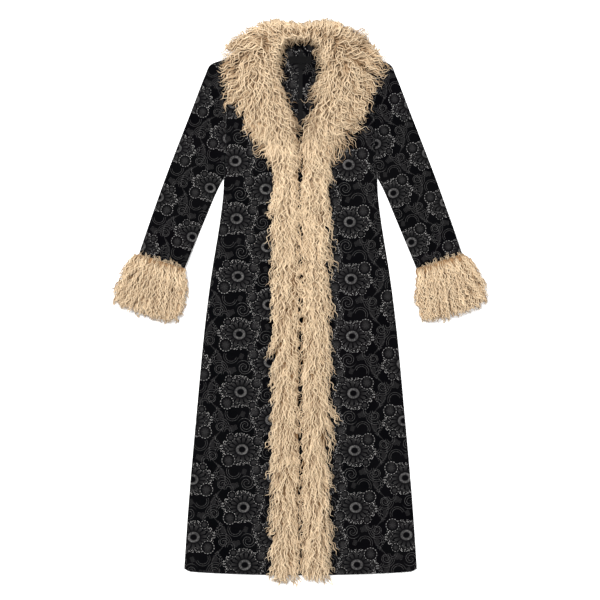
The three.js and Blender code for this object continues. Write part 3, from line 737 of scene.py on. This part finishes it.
def trim_locks(name, side, fur, reliefs, material):
    """Locks down one front trim: they hang towards the hem and splay out over its outer edge."""
    rng = np.random.default_rng(11 if side > 0 else 12)
    u, v = jittered(rng, 5, 78)
    slit = smooth((0.062 - v) / 0.03)
    u = mix(0.07 + 0.03 * slit, 0.8, u)
    x, y = trim_place(u, 0.985 * v)
    longer = swirl(y * 0.6, x, 5.1 + side)
    low = smooth((v - 0.12) / 0.4)
    splay = mix(-0.4, -0.62, low) + mix(0.75, 1.25, low) * u + 0.5 * u**3
    splay = splay + mix(0.28, 0.16, low) * swirl(x, y, 0.7 + side) + rng.normal(0, 0.15, len(u))
    wisp = (u > 0.6) & (rng.random(len(u)) < 0.3)
    return grow_locks(
        name, side, rng, x, y, splay - np.pi / 2, fur, reliefs["ground"], reliefs["front"], material,
        strands=6,
        shortest=22,
        tested=rng.uniform(0.84, 0.98, len(u)),
        length=(0.9 + 0.2 * u + 0.16 * longer - 0.1 * low) * rng.uniform(0.85, 1.15, len(u)),
        tone=0.23,
        top_share=0.9,
        inside=np.where(wisp, -6, 2.2 - 3.6 * smooth(longer * 1.4)),
        middle=mix(0.5, 2.4, low) + 5 * slit,
        droop=-0.5 * side * splay,
        spread=np.where(wisp, 15, 11),
        wave=mix(1, 0.85, low),
        swing=mix(1, 0.72, low),
        radius=mix(1, 0.88, low) * np.where(wisp, 0.62, 1),
        # Painted shade over the valley between the two trims, growing towards the hem.
        valley_shade=0.2 * low,
    )


def collar_locks(name, side, fur, reliefs, material):
    """Locks over half the collar: they radiate from its roll and turn down towards its lower end.

    Those that cross are near the foot of the neck opening and sweep in over the centre line.
    """
    rng = np.random.default_rng(21 if side > 0 else 22)
    u, v = jittered(rng, 9, 44)
    kept = (u < 0.62) | (v < 0.3) | (rng.random(len(u)) < 0.68)
    u, v = u[kept], v[kept]
    innermost = 0.14 + 0.2 * smooth((0.25 - v) / 0.2) + 0.06 * smooth((0.5 - v) / 0.2)
    u = mix(innermost, 0.82, u * (0.85 + 0.15 * u))
    v = v * 0.99
    x, y = collar_place(u, v)
    out = curve_at(COLLAR_OUTER, v) - curve_at(COLLAR_INNER, v)
    out = out / np.linalg.norm(out, axis=-1, keepdims=True)
    behind = 1 - smooth((v - 0.14) / 0.32)
    cross = smooth((v - 0.67) / 0.04) * smooth((0.8 - v) / 0.03)
    splay = mix(-0.5, 0.75, smooth(u / 0.9)) + 0.45 * behind * smooth((u - 0.2) / 0.5)
    splay = splay - 0.55 * cross * smooth((0.4 - u) / 0.25)
    way = mix(-0.9, 1, smooth((u - 0.34 + rng.normal(0, 0.13, len(u))) / 0.16))
    hx = mix(np.sin(splay), out[:, 0] * way, behind)
    hy = mix(-np.cos(splay), out[:, 1] * way, behind)
    heading = np.arctan2(hy, hx) + 0.32 * swirl(x, y, 2.3 + side) + rng.normal(0, 0.16, len(u))
    at_edge = ((u < 0.27) & (behind < 0.97)) | ((u > 0.66) & (behind < 0.7))
    wisp = at_edge & (rng.random(len(u)) < 0.4)
    return grow_locks(
        name, side, rng, x, y, heading, fur, reliefs["ground"], reliefs["front"], material,
        strands=7,
        shortest=18,
        tested=mix(rng.uniform(0.66, 0.98, len(u)), 0.95, smooth(behind * 1.5)),
        length=rng.uniform(0.85, 1.2, len(u)) * (1 - 0.25 * behind),
        tone=-0.015 + 0.035 * behind,
        top_share=0.75,
        inside=np.where(wisp, -5, 3.5 + behind * np.where(way > 0, 4.5, 1.2)),
        middle=np.where(cross > 0.3, -9.0, 5.0 * (v >= 0.78)),
        bend=np.where(wisp, 2.2, 0.95),
        spread=np.where(wisp, 16, 11),
        wave=1.15,
        swing=1.06,
        radius=np.where(wisp, 0.58, 1),
    )


def cuff_locks(name, side, fur, reliefs, material):
    """Locks down one cuff: finer and straighter waves that fan out a little and hang over the hand opening.

    The last few are small thin curls that turn back over the end of the sleeve.
    """
    rng = np.random.default_rng(31 if side > 0 else 32)
    a, b = jittered(rng, 14, 15)
    curls = 11
    a = np.append(a, mix(0.09, 0.91, (np.arange(curls) + rng.random(curls)) / curls))
    curl = np.arange(len(a)) >= len(b)
    along = np.append(mix(2, 124, b), rng.uniform(2, 7, curls))
    sideways = mix(-1, 1, a)
    sideways = sideways * (np.where(sideways > 0, 0.93, 0.88) * cuff_reach(along, sideways))
    x, y = cuff_place(along, sideways)
    down = cuff_axes()[2]
    fan = 0.36 * (sideways / 85) + 0.1 * swirl(x, y, 1.1 + side) + rng.normal(0, 0.08, len(a))
    heading = np.arctan2(down[1], down[0]) - 0.03 - fan + np.where(curl, np.pi, 0)
    length = 0.88 * rng.uniform(0.8, 1.15, len(a)) * (1 - 0.3 * smooth((along - 70) / 60))
    central = np.abs(sideways) < 62
    at_side = np.where((sideways < 0) & (along > 60), 6, 3)
    inside = np.where(central, rng.uniform(0.3, 5, len(a)), at_side)
    return grow_locks(
        name, side, rng, x, y, heading, fur, reliefs["ground"], reliefs["cuff"], material,
        strands=6,
        shortest=26,
        tested=np.where(central, rng.uniform(0.78, 0.98, len(a)), 0.95),
        length=length * np.where(curl, 0.31, 1),
        tone=np.where(curl, 0.02, -0.05) + 0.32 * smooth((24 - along) / 16),
        top_share=0.6,
        inside=np.where(curl, -1, inside),
        bend=np.where(curl, 3.0, 0.4),
        spread=5,
        wave=0.67,
        swing=0.62,
        radius=np.where(curl, 0.29, 0.9),
    )


def fall_locks(name, side, fur, reliefs, material):
    """Short hair on the floor past the upper edge of the collar's back fall, over both sides of the coat."""
    rng = np.random.default_rng(41)
    a, b = jittered(rng, 44, 1)
    share = 2 * a - 1
    edge = curve_at(COLLAR_OUTER, np.abs(share) * FALL_REACH)
    heading = np.pi / 2 - 0.5 * share + rng.normal(0, 0.25, len(a))
    return grow_locks(
        name, side, rng, np.sign(share) * edge[:, 0], edge[:, 1] - 32 + 8 * b, heading,
        fur, Relief(), Relief(), material,
        strands=5,
        shortest=18,
        tested=0.95,
        length=0.55 * rng.uniform(0.8, 1.1, len(a)) * (1 - 0.4 * share * share),
        tone=0.1,
        top_share=0.5,
        middle=-60,
        spread=6,
        wave=0.8,
        swing=0.4,
        radius=0.8,
    )


# ---- The woven pattern ----
# Its repeat and how far beside the first flower the second one stands, in millimetres.
REPEAT_WIDE, REPEAT_HIGH, SECOND_FLOWER = 202.0, 145.0, 75.0
# Buds round a flower: place from its middle, and size.
BUDS = [(40.0, 20.0, 14.0), (-35.0, -26.0, 16.0), (28.0, -34.0, 10.0), (-28.0, 31.0, 10.0)]
# The smaller motifs are placed from a point beside each flower. Spirals: place, radius, pitch, turn and the
# direction in degrees where the line ends.
FIELD_OFFSET = (-8.0, 67.0)
SPIRALS = [
    (18, -6, 19, 13.5, 1, 100), (-44, -9, 13, 9.0, -1, 40), (40, 28, 11, 8.0, -1, 200),
    (-62, 34, 15, 10.5, 1, 300),
]
# Arcs: place, radius, middle direction and half angle.
ARCS = [
    (-14, 24, 16, 250, 95), (-68, -2, 15, 100, 80), (-28, -20, 9, 80, 110), (44, -16, 13, 320, 75),
    (10, 46, 13, 70, 90), (-44, 44, 10, 170, 100), (-46, -10, 21, 60, 55), (47, 14, 17, 115, 70),
    (2, -32, 14, 255, 70), (-66, 20, 8, 330, 110),
]
# Clouds: place, half length, half width, direction in degrees and number of lobes.
CLOUDS = [
    (-13, -13, 10, 6.5, 20, 5), (12, 22, 6.5, 5, 70, 4), (-44, 22, 7.5, 5.5, 100, 5), (40, 8, 6.5, 4, 60, 4),
    (-26, 40, 6, 4, 0, 3),
]


class Field:
    """A number that varies over a surface. Arithmetic on it adds Math nodes to its node tree."""

    def __init__(self, tree, socket):
        self.tree, self.socket = tree, socket

    def math(self, operation, *others, clamp=False):
        node = self.tree.nodes.new("ShaderNodeMath")
        node.operation, node.use_clamp, node.hide = operation, clamp, True
        node.location = (-200 * (len(self.tree.nodes) % 12), -60 * (len(self.tree.nodes) // 12))
        for socket, value in zip(node.inputs, (self, *others)):
            if isinstance(value, Field):
                self.tree.links.new(value.socket, socket)
            else:
                socket.default_value = value
        return Field(self.tree, node.outputs[0])

    __add__ = __radd__ = partialmethod(math, "ADD")
    __sub__ = partialmethod(math, "SUBTRACT")
    __mul__ = __rmul__ = partialmethod(math, "MULTIPLY")
    __neg__ = partialmethod(math, "MULTIPLY", -1.0)
    wave = partialmethod(math, "SINE")
    size = partialmethod(math, "ABSOLUTE")
    larger = partialmethod(math, "MAXIMUM")

    def wrapped(self, reach):
        """The number moved by whole repeats to between -reach and reach."""
        return self.math("WRAP", reach, -reach)

    def band(self, half, soft):
        """1 where the number is within half of 0, falling to 0 over `soft`."""
        return self.size().below(half, soft)

    def below(self, limit, soft):
        """1 where the number is under the limit, falling to 0 over `soft`."""
        return (self * (-1.0 / soft)).math("ADD", limit / soft + 0.5, clamp=True)


def largest(fields):
    """The largest of several fields."""
    return reduce(lambda a, b: a.larger(b), fields)


def polar(x, y):
    """Distance from the middle and angle round it."""
    return (x * x + y * y).math("SQRT"), y.math("ARCTAN2", x)


def cell_places(x, y, off_x, off_y):
    """Place from the nearer of the two motifs of a repeat, which stand (off_x, off_y) from the flowers.

    The second motif is the mirror image of the first, beside it and half a repeat below.
    """
    wide, high = REPEAT_WIDE / 2, REPEAT_HIGH / 2
    ax, ay = (x - off_x).wrapped(wide), (y - off_y).wrapped(high)
    bx, by = -(x - (SECOND_FLOWER - off_x)).wrapped(wide), (y + (high - off_y)).wrapped(high)
    first = (ax * ax + ay * ay).math("LESS_THAN", bx * bx + by * by)
    return bx + (ax - bx) * first, by + (ay - by) * first


def flower(x, y, rough, beads):
    """Light thread of one flower: a ring round a dark eye, narrow petals, and lace of three scalloped lines.

    rough is noise about 0.5 that shifts the lace, and beads is 1 in its bright spots and 0 between them.
    """
    r, a = polar(x * 0.93, y * 1.07)
    ring = (r - 11.2).band(3.3, 2.4) * ((a + 2.0).wave() * 0.04 + 0.565)
    inside = (r - 15.0) * (1 / 17)
    petal = (a * 7.5 + 0.4).wave().size() - inside * inside * 0.5 - 0.42
    narrow = petal.math("GREATER_THAN", 0.0) * (inside * 0.34 + 0.02) + petal.band(0.04, 0.14) * inside * 0.5
    narrow = narrow * (r - 24.0).band(7.0, 2.0)
    r, a = polar(x * 0.85, y * 1.1)
    shift = (rough - 0.5) * 8.0
    dots = (a * 18.0).wave().size() + beads * 0.5 - 0.25
    dots = dots.math("MULTIPLY_ADD", 2.2, -0.9, clamp=True)
    edge = r - 34.0 - shift - (a * 2.5 + 0.6).wave().size() * 5.5 - (a * 11.5).wave().size() * 4.0
    inner_edge = r - 28.5 - shift * 0.6 - (a * 6.5).wave().size() * 6.0
    loops = r - 34.5 - shift * 0.8 - (a * 9.0 + 1.0).wave() * 4.0
    outline = edge.band(0.85, 1.1) * (dots * 0.98 + 0.1)
    inner_outline = inner_edge.band(0.5, 1.0) * (beads * 0.5 + 0.2)
    loop_line = loops.band(0.6, 1.0) * (dots * 0.8 + 0.04)
    frill = (edge - 3.4).band(0.7, 0.9) * beads
    fill = edge.below(-2.4, 1.4) * inner_edge.math("MULTIPLY", 0.5, clamp=True) * (rough * 0.16 + 0.03)
    return largest([ring, narrow, outline, inner_outline, loop_line, frill, fill])


def bud(x, y, centre_x, centre_y, size, beads):
    """Light thread of a bud (streaky middle, dark gap, beaded outline), and where it hides the flower."""
    r, a = polar(x - centre_x, y - centre_y)
    lobe = (a * (round(size * 0.9) / 2)).wave().size()
    edge = r * (1.0 / size) - lobe * 0.12 + 0.05
    middle = edge.below(0.5, 0.5) * ((a * 8.0).wave() * 0.1 + beads * 0.08 + 0.26)
    dots = lobe.math("MULTIPLY_ADD", 2.0, -0.8, clamp=True)
    return middle.larger((edge - 0.95).band(0.045, 0.08) * (dots * 0.85 + 0.15)), edge.below(1.1, 0.08)


def spiral(x, y, centre_x, centre_y, size, pitch, turn, end):
    """A thin double line that winds out by one pitch each turn until it meets the circle of its radius."""
    r, a = polar(x - centre_x, y - centre_y)
    line = (r * (1.0 / pitch) - (a - math.radians(end)) * (turn / (2 * math.pi))).math("FRACT")
    away = ((line - 0.5) * pitch).size() - 0.2 * pitch
    return away.band(0.42, 0.8) * r.below(size, 1.5) * r.math("MULTIPLY", 0.2, clamp=True)


def arc(x, y, centre_x, centre_y, radius, middle, half):
    """A thin double arc: `half` degrees to both sides of its middle direction."""
    r, a = polar(*turned(x - centre_x, y - centre_y, middle))
    return ((r - radius).size() - 2.4).band(0.4, 0.8) * a.band(math.radians(half), 0.1)


def cloud(x, y, centre_x, centre_y, long, wide, degrees, lobes, broken):
    """A cluster of small rounded leaves: a lobed oval with a dim streaky middle and a thin outline."""
    p, q = turned(x - centre_x, y - centre_y, degrees)
    r, a = polar(p * (1.0 / long), q * (1.0 / wide))
    edge = r - (a * (lobes / 2)).wave().size() * 0.4 - (broken - 0.5) * 0.2
    middle = edge.below(0.6, 0.16) * ((a * lobes).wave().size() * 0.12 + broken * 0.18)
    return middle.larger((edge - 0.8).band(0.05, 0.1) * (broken * 0.4 + 0.3))


def woven_flowers():
    """Node group: the amount of light thread at a point of the cloth.

    Two flowers to a repeat, the second the mirror image of the first, and between them a field of scrolls.
    """
    tree = bpy.data.node_groups.new("Woven flowers", "ShaderNodeTree")
    tree.interface.new_socket("Grain", in_out="INPUT", socket_type="NodeSocketVector")
    tree.interface.new_socket("Thread", in_out="OUTPUT", socket_type="NodeSocketFloat")
    start, end = tree.nodes.new("NodeGroupInput"), tree.nodes.new("NodeGroupOutput")
    x, y = (metres * 1000.0 for metres in parts(tree, start.outputs["Grain"]))
    mx, my = cell_places(x, y, 0.0, 0.0)
    place = tree.nodes.new("ShaderNodeCombineXYZ")
    tree.links.new(mx.socket, place.inputs[0])
    tree.links.new(my.socket, place.inputs[1])
    rough = noise(tree, place.outputs[0], 1 / 21, 1.0)
    broken = noise(tree, place.outputs[0], 1 / 4.2, 1.0)
    beads = noise(tree, place.outputs[0], 1 / 2.6, 0.0).math("MULTIPLY_ADD", 9.0, -4.3, clamp=True)
    bloom = flower(mx, my, rough, beads)
    buds, masks = zip(*(bud(mx, my, *entry, beads) for entry in BUDS))
    thread = largest([*buds, bloom * (largest(masks) * -1.0 + 1.0)])
    sx, sy = cell_places(x, y, *FIELD_OFFSET)
    vine = mx + 65.0 + (my * (2 * math.pi / REPEAT_HIGH)).math("COSINE") * 19.0
    scrolls = largest([
        (vine.size() - 2.7).band(0.45, 0.8) * 0.55,
        *(spiral(sx, sy, *entry) * 0.68 for entry in SPIRALS),
        *(arc(sx, sy, *entry) * 0.63 for entry in ARCS),
        *(cloud(sx, sy, *entry, broken) for entry in CLOUDS),
    ])
    clear = polar(mx * 0.87, my * 1.12)[0].below(42.0, 2.0) * -1.0 + 1.0
    tree.links.new(thread.larger(scrolls * clear).socket, end.inputs["Thread"])
    return tree


# ---- Materials ----
def shader(name, roughness, specular=0.5):
    """A material with a Principled surface: the material, its node tree and the surface's node."""
    material = bpy.data.materials.new(name)
    material.use_nodes = True
    surface = material.node_tree.nodes["Principled BSDF"]
    surface.inputs["Roughness"].default_value = roughness
    surface.inputs["Specular IOR Level"].default_value = specular
    return material, material.node_tree, surface


def parts(tree, vector):
    """The first two numbers of a vector."""
    split = tree.nodes.new("ShaderNodeSeparateXYZ")
    tree.links.new(vector, split.inputs[0])
    return Field(tree, split.outputs[0]), Field(tree, split.outputs[1])


def grain_place(tree):
    """The place in the UV map along and across the cloth."""
    node = tree.nodes.new("ShaderNodeUVMap")
    node.uv_map = "Grain"
    return node.outputs[0]


def noise(tree, vector, scale, detail=2.0):
    """A noise texture's value."""
    node = tree.nodes.new("ShaderNodeTexNoise")
    node.inputs["Scale"].default_value, node.inputs["Detail"].default_value = scale, detail
    tree.links.new(vector, node.inputs["Vector"])
    return Field(tree, node.outputs["Fac"])


def bump(tree, surface, height, strength, distance):
    """Raises the surface by a field of heights."""
    node = tree.nodes.new("ShaderNodeBump")
    node.inputs["Strength"].default_value, node.inputs["Distance"].default_value = strength, distance
    tree.links.new(height.socket, node.inputs["Height"])
    tree.links.new(node.outputs[0], surface.inputs["Normal"])


def colours(tree, surface, amount, stops):
    """Colours the surface by a number, through (place, colour) stops."""
    ramp = tree.nodes.new("ShaderNodeValToRGB")
    elements = ramp.color_ramp.elements
    while len(elements) < len(stops):
        elements.new(0.5)
    for element, (place, colour) in zip(elements, stops):
        element.position, element.color = place, (*colour, 1.0)
    tree.links.new(amount.socket, ramp.inputs[0])
    tree.links.new(ramp.outputs[0], surface.inputs["Base Color"])


def scaled(colour, factor):
    """A colour made darker or lighter."""
    return [factor * value for value in colour]


def blended(first, second, share):
    """A colour between two others."""
    return [mix(a, b, share) for a, b in zip(first, second)]


def flowered_cloth(cloth):
    """Black woven cloth with a grey flower pattern in slightly raised thread."""
    material, tree, surface = shader("Flowered cloth", 0.9, 0.0)
    grain = grain_place(tree)
    group = tree.nodes.new("ShaderNodeGroup")
    group.node_tree = woven_flowers()
    tree.links.new(grain, group.inputs["Grain"])
    thread = Field(tree, group.outputs["Thread"])
    warp, weft = (metres * (2 * math.pi / cloth.weave_size) for metres in parts(tree, grain))
    slub = noise(tree, grain, 900.0, 3.0)
    # Slow patches of lighter and darker cloth, about a tenth of a metre across: partly wear, partly painted
    # sheen.
    wear_and_sheen = noise(tree, grain, 9.0)
    patchy = noise(tree, grain, 260.0)
    light = thread * (slub * 0.7 + patchy * 1.2 + 0.02) + slub * 0.05 + wear_and_sheen * 0.06 - 0.043
    upper = blended(cloth.dim_thread_colour, cloth.thread_colour, 0.28)
    colours(tree, surface, light, [
        (0.0, cloth.ground_colour), (0.5, cloth.dim_thread_colour), (0.75, upper), (1.0, cloth.thread_colour),
    ])
    bump(tree, surface, warp.wave() * weft.wave() * 0.25 + thread * 0.6 + slub * 0.3, 0.5, 0.0005)
    return material


def curly_hair(fur):
    """Hair: darker at the root than at the tip, with a little difference between strands."""
    material, tree, surface = shader("Curly hair", 0.55, 0.25)
    tone = tree.nodes.new("ShaderNodeAttribute")
    tone.attribute_name = "Tone"
    place = tree.nodes.new("ShaderNodeTexCoord")
    fibre = noise(tree, place.outputs["Object"], 700.0)
    amount = Field(tree, tone.outputs["Fac"]) + fibre * 0.16 - 0.08
    middle = blended(fur.root_colour, fur.tip_colour, 0.55)
    colours(tree, surface, amount, [(0.0, fur.root_colour), (0.5, middle), (1.0, fur.tip_colour)])
    surface.inputs["Sheen Weight"].default_value = 0.05
    bump(tree, surface, fibre, 0.4, 0.0006)
    return material


def fur_backing(fur):
    """The backing between the locks: short dense curls, seen only as shadowed colour."""
    material, tree, surface = shader("Fur backing", 0.9)
    place = tree.nodes.new("ShaderNodeTexCoord")
    curls = noise(tree, place.outputs["Object"], 190.0, 4.0)
    root = fur.root_colour
    colours(tree, surface, curls, [(0.3, scaled(root, 0.55)), (0.6, root), (0.8, scaled(root, 1.25))])
    bump(tree, surface, curls, 0.9, 0.004)
    return material


def tape(name, colour, roughness, rib):
    """A narrow woven tape with fine ribs across it."""
    material, tree, surface = shader(name, roughness, 0.03)
    grain = grain_place(tree)
    ribs = (parts(tree, grain)[1] * (2 * math.pi / rib)).wave()
    speck = noise(tree, grain, 1400.0)
    light = ribs * 0.12 + speck * 0.7 + 0.05
    colours(tree, surface, light, [(0.0, scaled(colour, 0.5)), (0.6, colour), (1.0, scaled(colour, 1.7))])
    bump(tree, surface, ribs * 0.5 + speck, 0.4, 0.0003)
    return material


# ---- Settings ----
def number_of(name, description, default, low, high, unit="NONE"):
    """A number that a user may change."""
    return FloatProperty(name=name, description=description, default=default, min=low, max=high, unit=unit)


def colour_of(name, description, default):
    """A colour that a user may change."""
    return FloatVectorProperty(
        name=name, description=description, default=default, subtype="COLOR", size=3, min=0, max=1
    )


class CoatClothSettings(bpy.types.PropertyGroup):
    thickness: number_of("Thickness", "Thickness of the coat cloth", CLOTH / 1000, 0.001, 0.003, "LENGTH")
    fold_height: number_of("Fold height", "How strong the soft folds in the cloth are", 1.0, 0, 1.5)
    weave_size: number_of("Weave", "Width of one crossing of the weave", 0.0012, 0.0004, 0.01, "LENGTH")
    ground_colour: colour_of("Ground", "Colour of the cloth's ground", (0.0013, 0.0013, 0.0017))
    dim_thread_colour: colour_of(
        "Dim thread", "Colour of the filled parts of the pattern", (0.026, 0.0252, 0.0255)
    )
    thread_colour: colour_of("Light thread", "Colour of the pattern's outlines", (0.34, 0.33, 0.32))
    tape_colour: colour_of("Tape", "Colour of the tape over the centre-back seam", (0.006, 0.006, 0.0064))


class CoatFurSettings(bpy.types.PropertyGroup):
    lock_length: number_of("Lock length", "Length of a lock on the front edges", 0.058, 0.02, 0.09, "LENGTH")
    strand_radius: number_of(
        "Strand radius", "Thickest radius of one strand", 0.00145, 0.0005, 0.004, "LENGTH"
    )
    wave_length: number_of("Wave length", "Length of one wave of the hair", 0.029, 0.01, 0.08, "LENGTH")
    wave_height: number_of("Wave height", "How far a wave swings to each side", 0.0038, 0, 0.012, "LENGTH")
    pelt_share: number_of("Backing", "Share of the fur's thickness that is dense backing", 0.42, 0.2, 0.8)
    root_colour: colour_of("Roots", "Colour of the hair near its roots", (0.25, 0.142, 0.062))
    tip_colour: colour_of("Tips", "Colour of the hair at its tips", (0.73, 0.578, 0.392))


class CoatStageSettings(bpy.types.PropertyGroup):
    camera_height: number_of("Camera height", "Height of the camera over the floor", 4.1667, 1, 20, "LENGTH")
    focal_length: number_of("Focal length", "The camera's focal length", 100.0, 20, 300, "CAMERA")
    key_power: number_of("Key light", "Power of the large light above the collar", 850.0, 0, 5000, "POWER")
    sky_strength: number_of("Sky", "Strength of the even light from all round", 0.4, 0, 3)
    floor_colour: colour_of("Floor", "Colour of the floor", (0.93, 0.93, 0.93))


# ---- Operators ----
SIDES = (("_right", 1), ("_left", -1))
# The large lights: place and size in metres, and share of the key light's power.
LAMPS = (("key", (-2.6, 2.6, 6.4), 3.0, 1.0), ("fill", (3.0, -2.0, 6.0), 3.6, 0.3))
FLOOR_REACH, FLOOR_LEVEL = 9, -0.0004
CAMERA_PLACE = (-0.00125, 0.0025)
SENSOR_WIDTH = 36
SHARED = {}


def shared(key, make):
    """What several pieces share, such as a material, made the first time that it is asked for."""
    if key not in SHARED:
        SHARED[key] = make()
    return SHARED[key]


class COAT_OT_stage(bpy.types.Operator):
    """Adds the floor, the lights and the camera straight above the coat"""

    bl_idname = "coat.stage"
    bl_label = "Stage"

    def execute(self, context):
        settings = context.scene.coat_stage
        material, _, surface = shader("Pale floor", 0.9, 0.1)
        surface.inputs["Base Color"].default_value = (*settings.floor_colour, 1)
        mesh = bpy.data.meshes.new("floor")
        signs = ((-1, -1), (1, -1), (1, 1), (-1, 1))
        corners = [(x * FLOOR_REACH, y * FLOOR_REACH, FLOOR_LEVEL) for x, y in signs]
        mesh.from_pydata(corners, [], [(0, 1, 2, 3)])
        mesh.materials.append(material)
        floor = bpy.data.objects.new("floor", mesh)
        context.scene.collection.objects.link(floor)
        world = bpy.data.worlds.new("Soft light")
        world.use_nodes = True
        background = world.node_tree.nodes["Background"]
        background.inputs["Color"].default_value = (1, 1, 1, 1)
        background.inputs["Strength"].default_value = settings.sky_strength
        context.scene.world = world
        for name, place, size, share in LAMPS:
            light = bpy.data.lights.new(name, "AREA")
            light.size, light.energy = size, settings.key_power * share
            lamp = bpy.data.objects.new(name, light)
            lamp.location = place
            tilt, bearing = math.acos(place[2] / math.hypot(*place)), math.atan2(place[0], -place[1])
            lamp.rotation_euler = (tilt, 0, bearing)
            context.scene.collection.objects.link(lamp)
        lens = bpy.data.cameras.new("camera")
        lens.lens, lens.sensor_width = settings.focal_length, SENSOR_WIDTH
        camera = bpy.data.objects.new("camera", lens)
        camera.location = (*CAMERA_PLACE, settings.camera_height)
        context.scene.collection.objects.link(camera)
        context.scene.camera = camera
        context.scene.view_settings.view_transform = "Standard"
        return {"FINISHED"}


def clothed(context, part, maker):
    """Adds one cloth piece on each side, which stands for its solid."""
    cloth = context.scene.coat_cloth
    material = shared("cloth", lambda: flowered_cloth(cloth))
    for suffix, side in SIDES:
        piece = seat(maker(f"{part}{suffix}_cloth", side, cloth, material), "cloth", part + suffix)
    return {"FINISHED"}


class COAT_OT_back(bpy.types.Operator):
    """Adds the two back panels, which meet at the centre back"""

    bl_idname = "coat.back"
    bl_label = "Back panels"

    def execute(self, context):
        return clothed(context, "back", body_panel)


class COAT_OT_front(bpy.types.Operator):
    """Adds the two front panels"""

    bl_idname = "coat.front"
    bl_label = "Front panels"

    def execute(self, context):
        return clothed(context, "front", body_panel)


class COAT_OT_sleeves(bpy.types.Operator):
    """Adds the two flattened sleeves"""

    bl_idname = "coat.sleeves"
    bl_label = "Sleeves"

    def execute(self, context):
        return clothed(context, "sleeve", sleeve)


class COAT_OT_binding(bpy.types.Operator):
    """Adds the tape over the centre-back seam and the two blank labels on it"""

    bl_idname = "coat.binding"
    bl_label = "Binding and labels"

    def execute(self, context):
        cloth = context.scene.coat_cloth
        thick = cloth.thickness * 1000
        seam = ("binding", tape("Binding tape", list(cloth.tape_colour), 0.7, 0.0011))
        label = ("label", tape("Blank label", scaled(cloth.tape_colour, 0.5), 0.45, 0.0006))
        over_tape = thick + TAPE_WALL + 2 * SEAM_GAP
        backs, binding = ["back_left_cloth", "back_right_cloth"], ["back_seam_binding_tape"]
        for node, (slot, finish), place, counts, over, wall, rests_on in (
            ("back_seam_binding", seam, (-5.2, 5.2, -670, 622), (6, 60), thick + SEAM_GAP, TAPE_WALL, backs),
            ("neck_label", label, (-28, 28, 592, 610), (10, 6), over_tape, LABEL_WALL, binding),
            ("size_tab", label, (-4, 12, 577, 591.4), (10, 6), over_tape, LABEL_WALL, binding),
        ):
            piece = seat(flat_strip(f"{node}_tape", place, counts, over, wall, finish), slot, node)
        return {"FINISHED"}


def furred(context, part, pelt_maker, locks_maker, sides=SIDES):
    """Adds one fur piece on each side: its backing, and the locks that stand for the solid."""
    fur = context.scene.coat_fur
    backing = shared("backing", lambda: fur_backing(fur))
    hair = shared("hair", lambda: curly_hair(fur))
    reliefs = shared("reliefs", lay_reliefs)
    for suffix, side in sides:
        node = part + suffix
        pelt = seat(pelt_maker(f"{node}_pelt", side, fur, backing), "fur")
        locks = seat(locks_maker(f"{node}_locks", side, fur, reliefs, hair), "fur", node)
    return {"FINISHED"}


class COAT_OT_collar(bpy.types.Operator):
    """Adds the fur collar, one half on each side"""

    bl_idname = "coat.collar"
    bl_label = "Collar fur"

    def execute(self, context):
        return furred(context, "collar", collar_pelt, collar_locks)


class COAT_OT_trim(bpy.types.Operator):
    """Adds the fur down each front edge"""

    bl_idname = "coat.trim"
    bl_label = "Front edge fur"

    def execute(self, context):
        return furred(context, "front_trim", trim_pelt, trim_locks)


class COAT_OT_cuffs(bpy.types.Operator):
    """Adds the fur cuffs at the ends of the sleeves"""

    bl_idname = "coat.cuffs"
    bl_label = "Cuff fur"

    def execute(self, context):
        return furred(context, "cuff", cuff_pelt, cuff_locks)


class COAT_OT_fall(bpy.types.Operator):
    """Adds the part of the collar that folds over behind the neck and is lain on"""

    bl_idname = "coat.fall"
    bl_label = "Back fall of the collar"

    def execute(self, context):
        return furred(
            context, "collar_back_fall", fall_pelt, fall_locks,
            sides=(("", 1),),
        )


STEPS = (
    COAT_OT_stage, COAT_OT_back, COAT_OT_binding, COAT_OT_front, COAT_OT_sleeves,
    COAT_OT_collar, COAT_OT_trim, COAT_OT_cuffs, COAT_OT_fall,
)
SETTINGS = {"coat_cloth": CoatClothSettings, "coat_fur": CoatFurSettings, "coat_stage": CoatStageSettings}


class COAT_PT_panel(bpy.types.Panel):
    """The coat's settings and the steps that build it"""

    bl_idname = "COAT_PT_panel"
    bl_label = "Afghan Coat"
    bl_space_type = "VIEW_3D"
    bl_region_type = "UI"
    bl_category = "Coat"

    def draw(self, context):
        for group in SETTINGS:
            settings = getattr(context.scene, group)
            box = self.layout.box()
            box.label(text=group.removeprefix("coat_").capitalize())
            for name in settings.__annotations__:
                box.prop(settings, name)
        for step in STEPS:
            self.layout.operator(step.bl_idname)


def register():
    for entry in (*SETTINGS.values(), *STEPS, COAT_PT_panel):
        bpy.utils.register_class(entry)
    for name, group in SETTINGS.items():
        setattr(bpy.types.Scene, name, PointerProperty(type=group))


def unregister():
    for name in SETTINGS:
        delattr(bpy.types.Scene, name)
    for entry in reversed((*SETTINGS.values(), *STEPS, COAT_PT_panel)):
        bpy.utils.unregister_class(entry)


def main():
    register()
    for step in STEPS:
        group, name = step.bl_idname.split(".")
        getattr(getattr(bpy.ops, group), name)()


if __name__ == "__main__":
    main()
